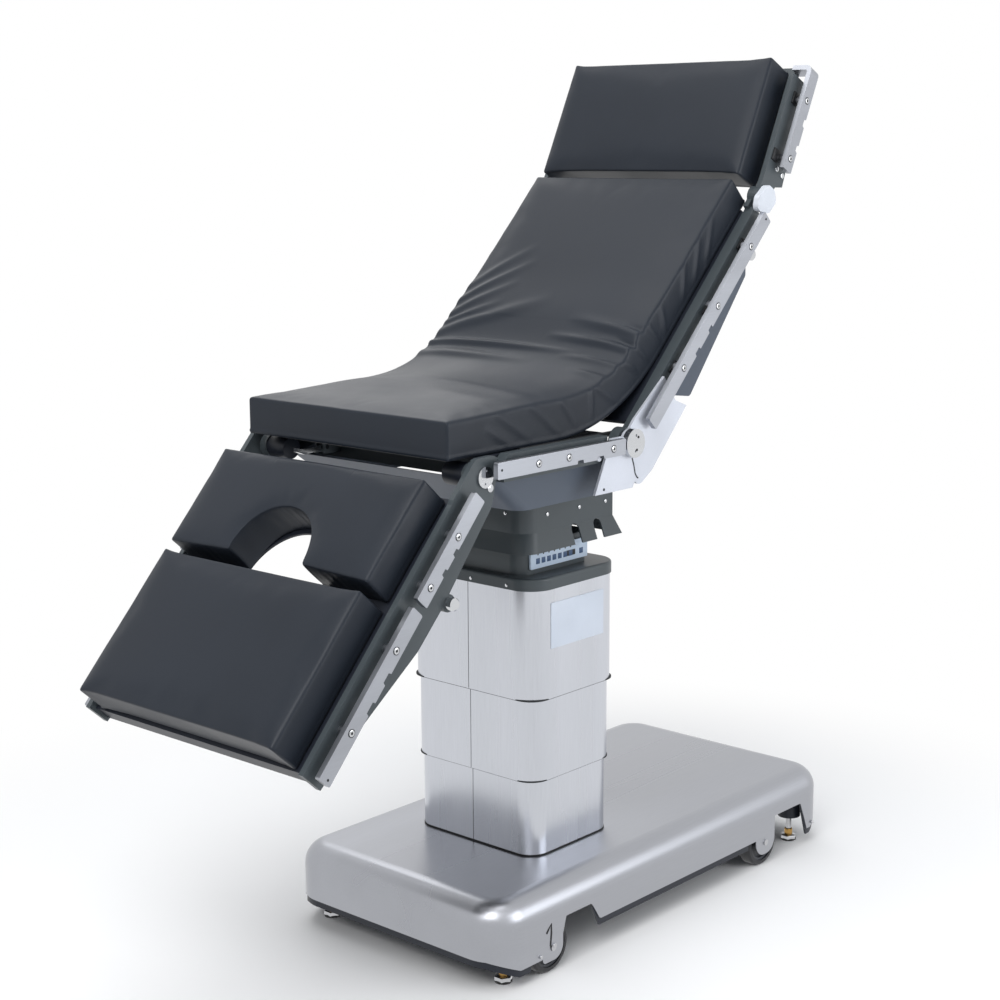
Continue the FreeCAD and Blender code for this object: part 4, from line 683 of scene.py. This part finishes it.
def column_details():
    """Joint lines of the sleeves, a black ring at the lower sleeve's foot, dark rings of painted shadow under the
    lower edges of the other two, the blank plate and the collar's screws.
    """
    for name, body, half_x, low, high in SLEEVES:
        shape = bmesh.new()
        for side in (-1, 1):
            x = side * half_x
            add_block(shape, (x - 0.0001, -0.0006, low + 0.001), (x + 0.0001, 0.0006, high - 0.001))
        piece(name + "_sleeve_joint", shape, DARK_MARKS_AND_SHADOW, body, AT_COLUMN)
    shape = sleeve_ring(0.1150, 0.1482, 0.0024, 0.1602, 0.1632, corner=0.036)
    piece("column_foot_line", shape, BLACK, "base", AT_COLUMN)
    # Painted shadow: a dark ring in each step, just under a sleeve's lower edge
    for name, body, grow, low in STEP_SHADE_RINGS:
        shape = sleeve_ring(0.1168 + grow, 0.1500 + grow, 0.0045, low - 0.0009, low + 0.0015)
        piece(name, shape, DARK_MARKS_AND_SHADOW, body, AT_COLUMN)
    shape = bmesh.new()
    face_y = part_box("upper_sleeve")[0][1]
    add_block(shape, (-0.077, face_y - 0.0012, 0.558), (0.075, face_y + 0.0002, 0.644), bevel=0.0005)
    piece("blank_plate", shape, LABEL, "upper_stage", AT_COLUMN)
    shape = bmesh.new()
    for side in (-1, 1):
        for y in (-0.098, -0.010, 0.078):
            add_round(shape, (side * (COLLAR_HALF_X + 0.0004), y, 0.6775), 0.0032, 0.0016, "X", 16, 0.0004)
    piece("collar_screws", shape, FINISH["chrome"], "upper_stage", AT_COLUMN)


PANEL_FACE = -0.1250
KEY = 0.0105
KEYS_LOW = 0.7115
KEY_PLACES = [-0.078 + i * 0.0155 for i in range(7)]
SINGLE_KEY = 0.046


def panel_keys():
    """Seven square keys in a row and one apart, a small dot over each of the seven, and a window."""
    shape = bmesh.new()
    for x in (*KEY_PLACES, SINGLE_KEY):
        low, high = (x, PANEL_FACE - 0.0006, KEYS_LOW), (x + KEY, PANEL_FACE + 0.0004, KEYS_LOW + KEY)
        add_block(shape, low, high, bevel=0.0003)
    piece("panel_keys", shape, KEY_BLUE, "upper_stage", AT_COLUMN)
    shape = bmesh.new()
    for x in KEY_PLACES:
        add_round(shape, (x + KEY / 2, PANEL_FACE - 0.0001, 0.729), 0.0016, 0.0008, "Y", 12)
    add_block(shape, (0.008, PANEL_FACE - 0.0004, 0.712), (0.034, PANEL_FACE + 0.0004, 0.7225), bevel=0.0002)
    piece("panel_marks", shape, DARK_MARKS_AND_SHADOW, "upper_stage", AT_COLUMN)


def skirt_screws():
    """Screw heads on the skirt's long sides and on its end."""
    shape = bmesh.new()
    face_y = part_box("skirt")[0][1] + 0.013
    for x in (-0.070, 0.021, 0.098):
        add_round(shape, (x, face_y - 0.0004, 0.806), 0.0036, 0.002, "Y", 16, 0.0005)
    both_sides(shape)
    for y in (-0.100, 0.100):
        add_round(shape, (-0.1334, y, 0.812), 0.0036, 0.002, "X", 16, 0.0005)
    piece("skirt_screws", shape, FINISH["chrome"], "tilt_head", AT_COLUMN)


def rail_screws(name, body, where, over, places, holes):
    """Heads of the rail screws with a dark ring and a hexagonal socket, and the rail's end holes."""
    bright, dark = bmesh.new(), bmesh.new()
    for x in places:
        add_round(dark, (x, -RAIL_OUT - 0.0001, over), 0.0066, 0.0006, "Y", 24)
        add_round(bright, (x, -RAIL_OUT - 0.0004, over), 0.0056, 0.0012, "Y", 24, 0.0003)
        add_round(dark, (x, -RAIL_OUT - 0.0009, over), 0.0026, 0.0006, "Y", 6)
    for x, z in holes:
        add_round(dark, (x, -RAIL_OUT - 0.0001, z), 0.0022, 0.0006, "Y", 16)
    both_sides(bright)
    both_sides(dark)
    piece(name + "_heads", bright, FINISH["chrome"], body, where)
    piece(name + "_sockets", dark, DARK_MARKS_AND_SHADOW, body, where)


def all_rail_screws():
    """The screws of the rails of all four sections."""
    rail_screws("seat_rail", "seat", AT_COLUMN, 0.941, (-0.267, -0.188, -0.066), ((-0.360, 0.942),))
    rail_screws("leg_rail", "leg", AT_LEG, -0.0095, (-0.109, -0.206, -0.323, -0.471), ((-0.551, -0.013),))
    rail_screws("back_rail", "back", AT_BACK, -0.015, (0.185, 0.333, 0.480), ((0.5485, -0.0141),))
    rail_screws("upper_rail", "upper_back", AT_UPPER, -0.024, (0.090, 0.211), ())


BASE_SIDE = 0.2672


def base_details():
    """Hooked slots and rivets on the tongues, on both sides."""
    shape = bmesh.new()
    hook = [(-0.2165, 0.0810), (-0.2110, 0.0875), (-0.2035, 0.0960), (-0.2030, 0.0780), (-0.2055, 0.0560),
            (-0.2020, 0.0465), (-0.1960, 0.0450)]
    add_plan(shape, stroke(hook, 0.0021), -BASE_SIDE - 0.0004, -BASE_SIDE + 0.0004, "Y")
    both_sides(shape)
    piece("tongue_slots", shape, BLACK, "base", AT_COLUMN, sharp=30)
    shape = bmesh.new()
    for x, z, radius in ((-0.233, 0.043, 0.0034), (0.655, 0.045, 0.0034), (-0.196, 0.053, 0.0046)):
        add_round(shape, (x, -BASE_SIDE - 0.0012, z), radius, 0.0044, "Y", 20, 0.0008)
    both_sides(shape)
    piece("tongue_rivets", shape, FINISH["bright_steel"], "base", AT_COLUMN)


def hinge_details():
    """Spanner holes of the caps, slit and screw of the plates, and plugs and sleeves of the leg hinge."""
    shape = bmesh.new()
    for x, z in ((0.004, 0.9534), (-0.0002, 0.9309)):
        add_round(shape, (x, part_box("back_hinge_pins")[0][1] - 0.0001, z), 0.0024, 0.0008, "Y", 16)
    both_sides(shape)
    piece("back_cap_holes", shape, BLACK, "seat", AT_COLUMN)
    shape = bmesh.new()
    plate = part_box("seat_hinge_plates")[0][1]
    slit = [(0.0010, 0.9150), (0.0060, 0.9020), (0.0100, 0.8860), (0.0150, 0.8790), (0.0190, 0.8765)]
    add_plan(shape, stroke(slit, 0.0013), plate - 0.0004, plate + 0.0003, "Y")
    add_round(shape, (-0.079, plate - 0.0001, 0.869), 0.0026, 0.0008, "Y", 16)
    both_sides(shape)
    piece("hinge_plate_slit", shape, DARK_MARKS_AND_SHADOW, "seat", AT_COLUMN, sharp=30)
    shape = bmesh.new()
    add_round(shape, (0.005, -FRAME_OUT - 0.0004, -0.0415), 0.0070, 0.0024, "Y", 28, 0.0006)
    both_sides(shape)
    piece("leg_side_plugs", shape, FINISH["chrome"], "leg", AT_LEG)
    shape = bmesh.new()
    add_round(shape, (0.0105, -0.2172, -0.018), 0.0203, 0.0450, "Y", 40, 0.0008)
    both_sides(shape)
    piece("leg_drum_sleeves", shape, FINISH["dark_paint"], "leg", AT_LEG)


def seat_details():
    """Black strips let into the tops of the seat's beams."""
    shape = bmesh.new()
    add_block(shape, (-0.266, -0.2515, 0.9535), (-0.004, -0.2455, 0.9622), bevel=0.001)
    both_sides(shape)
    piece("seat_beam_strips", shape, BLACK, "seat", AT_COLUMN)


def feet():
    """Each jack foot: steel pad on a black sole, brass nut and polished rod."""
    for name in ("front_left_foot", "front_right_foot", "rear_left_foot", "rear_right_foot"):
        low, high = (Vector(v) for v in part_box(name))
        x, y = (low.x + high.x) / 2, (low.y + high.y) / 2
        body = name + "_jack"
        shape = bmesh.new()
        add_round(shape, (x, y, 0.0072), 0.0168, 0.0076, "Z", 6, 0.0008)
        steel = piece(name + "_pad", shape, FINISH["bright_steel"], body)
        shape = bmesh.new()
        add_round(shape, (x, y, 0.0017), 0.0160, 0.0034, "Z", 24, 0.0006)
        piece(name + "_sole", shape, SOLE, body)
        shape = bmesh.new()
        add_round(shape, (x, y, 0.018), 0.0085, 0.0140, "Z", 24, 0.0012)
        piece(name + "_nut", shape, BRASS, body)
        shape = bmesh.new()
        add_round(shape, (x, y, (high.z + 0.0245) / 2), 0.0055, high.z - 0.0245, "Z", 24)
        for i in range(12):
            add_round(shape, (x, y, 0.028 + i * 0.002), 0.0059, 0.0009, "Z", 24)
        piece(name + "_rod", shape, FINISH["bright_steel"], body)
        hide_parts(name)


def frame_clips():
    """Black clips that hold the covers along the back and upper frames, and the upper brackets' bolts."""
    shape = bmesh.new()
    for x, z in ((0.1815, -0.012), (0.3215, -0.014), (0.4790, -0.010)):
        add_block(shape, (x - 0.013, -0.2752, z - 0.007), (x + 0.013, -0.2690, z + 0.006), bevel=0.001)
    both_sides(shape)
    piece("back_clips", shape, BLACK, "back", AT_BACK)
    shape = bmesh.new()
    for x, z in ((0.0882, -0.0038), (0.2115, -0.0154)):
        add_block(shape, (x - 0.012, -0.2752, z - 0.010), (x + 0.012, -0.2690, z + 0.010), bevel=0.001)
    both_sides(shape)
    piece("upper_clips", shape, BLACK, "upper_back", AT_UPPER)
    shape = bmesh.new()
    for x, z in ((0.0668, -0.0203), (0.0629, -0.0425)):
        add_round(shape, (x, -FRAME_OUT - 0.0008, z), 0.0052, 0.003, "Y", 24, 0.0008)
    both_sides(shape)
    piece("upper_bracket_bolts", shape, FINISH["chrome"], "upper_back", AT_UPPER)


# Room, light and camera

CAMERA_AT = (-2.5380, -2.2862, 1.4644)
CAMERA_YAW = math.radians(48.25)
CAMERA_PITCH = math.radians(-10.80)
CAMERA_ROLL = math.radians(-0.29)
SENSOR = 36
FOCAL_SHARE = 1.8652


def camera():
    """The photograph's camera, solved from the edges of the pads, the column and the base."""
    data = bpy.data.cameras.new("camera")
    data.sensor_width = SENSOR
    data.lens = SENSOR * FOCAL_SHARE
    data.clip_end = 60
    thing = in_scene("camera", data)
    turn = Matrix.Rotation(-CAMERA_YAW, 4, "Z") @ Matrix.Rotation(math.pi / 2 + CAMERA_PITCH, 4, "X")
    thing.matrix_world = Matrix.Translation(CAMERA_AT) @ turn @ Matrix.Rotation(CAMERA_ROLL, 4, "Z")
    bpy.context.scene.camera = thing


def lamp(name, place, target, size, watts, tint=(1, 1, 1)):
    """A soft rectangular lamp that faces its target."""
    data = bpy.data.lights.new(name, "AREA")
    data.shape = "RECTANGLE"
    data.size, data.size_y = size
    data.energy = watts
    data.color = tint
    thing = in_scene(name, data)
    thing.location = place
    thing.rotation_euler = (Vector(target) - Vector(place)).to_track_quat("-Z", "Y").to_euler()


def white_where_seen(tree, lit, share=None):
    """Mixes in plain white for what the camera, a mirror or glass sees, for the camera by a share if given."""
    path = tree.nodes.new("ShaderNodeLightPath")
    seen = path.outputs["Is Camera Ray"]
    if share is not None:
        seen = node(tree, "Math", {"operation": "MULTIPLY"}, at0=seen, at1=share).outputs[0]
    for ray in ("Is Glossy Ray", "Is Transmission Ray"):
        seen = node(tree, "Math", {"operation": "MAXIMUM"}, at0=seen, at1=path.outputs[ray]).outputs[0]
    kind = "ShaderNodeBackground" if lit.bl_idname == "ShaderNodeBackground" else "ShaderNodeEmission"
    white = tree.nodes.new(kind)
    white.inputs[0].default_value = (1, 1, 1, 1)
    white.inputs[1].default_value = 1.0
    mix = tree.nodes.new("ShaderNodeMixShader")
    tree.links.new(seen, mix.inputs[0])
    tree.links.new(lit.outputs[0], mix.inputs[1])
    tree.links.new(white.outputs[0], mix.inputs[2])
    return mix


def surroundings():
    """Soft light from all round, seen as plain white."""
    world = bpy.data.worlds.new("studio")
    bpy.context.scene.world = world
    world.use_nodes = True
    tree = world.node_tree
    lit = tree.nodes["Background"]
    place = node(tree, "TexCoord").outputs["Generated"]
    height = node(tree, "SeparateXYZ", Vector=place).outputs["Z"]
    level = node(tree, "MapRange", Value=height, From_Min=-1.0, From_Max=1.0).outputs[0]
    fade = node(tree, "ValToRGB", Fac=level)
    stops = fade.color_ramp.elements
    stops[0].position, stops[0].color = 0.35, (0.85, 0.85, 0.86, 1)
    stops[1].position, stops[1].color = 1.0, (0.95, 0.97, 1.0, 1)
    middle = stops.new(0.56)
    middle.color = (0.45, 0.46, 0.48, 1)
    tree.links.new(fade.outputs[0], lit.inputs[0])
    lit.inputs[1].default_value = 0.62
    mix = white_where_seen(tree, lit)
    tree.links.new(mix.outputs[0], tree.nodes["World Output"].inputs[0])


def pale_floor():
    """A pale floor that keeps the shadow and is plain white farther out."""
    shape = bmesh.new()
    bmesh.ops.create_grid(shape, x_segments=1, y_segments=1, size=9)
    floor = in_scene("floor", mesh_of("floor", shape))
    pale = bpy.data.materials.new("pale floor")
    pale.use_nodes = True
    tree = pale.node_tree
    lit = tree.nodes["Principled BSDF"]
    lit.inputs["Base Color"].default_value = (0.93, 0.93, 0.93, 1)
    lit.inputs["Roughness"].default_value = 0.9
    lit.inputs["Specular IOR Level"].default_value = 0.0
    place = node(tree, "TexCoord").outputs["Object"]
    away = node(tree, "VectorMath", {"operation": "LENGTH"}, at0=place).outputs["Value"]
    far = node(tree, "MapRange", {"interpolation_type": "SMOOTHSTEP"}, Value=away, From_Min=0.95, From_Max=1.7)
    mix = white_where_seen(tree, lit, far.outputs[0])
    tree.links.new(mix.outputs[0], tree.nodes["Material Output"].inputs[0])
    floor.data.materials.append(pale)


def room():
    """Surroundings, floor and four soft lamps."""
    surroundings()
    pale_floor()
    lamp("key", (-2.8, -1.2, 3.2), (0, 0, 0.7), (2.4, 2.4), 85)
    lamp("fill", (1.4, -3.4, 1.5), (0, 0, 0.5), (2.6, 2.2), 56, (0.95, 0.97, 1.0))
    lamp("top", (-0.4, 0.3, 4.2), (0, 0, 0.6), (3.0, 3.0), 60)
    lamp("back", (1.8, 2.8, 3.4), (0, 0, 1.0), (2.0, 2.0), 14)
    bpy.context.scene.view_settings.view_transform = "Standard"


dress_cad_nodes()
long_cushion()
short_cushions()
column_details()
panel_keys()
skirt_screws()
all_rail_screws()
base_details()
hinge_details()
seat_details()
feet()
frame_clips()
camera()
room()
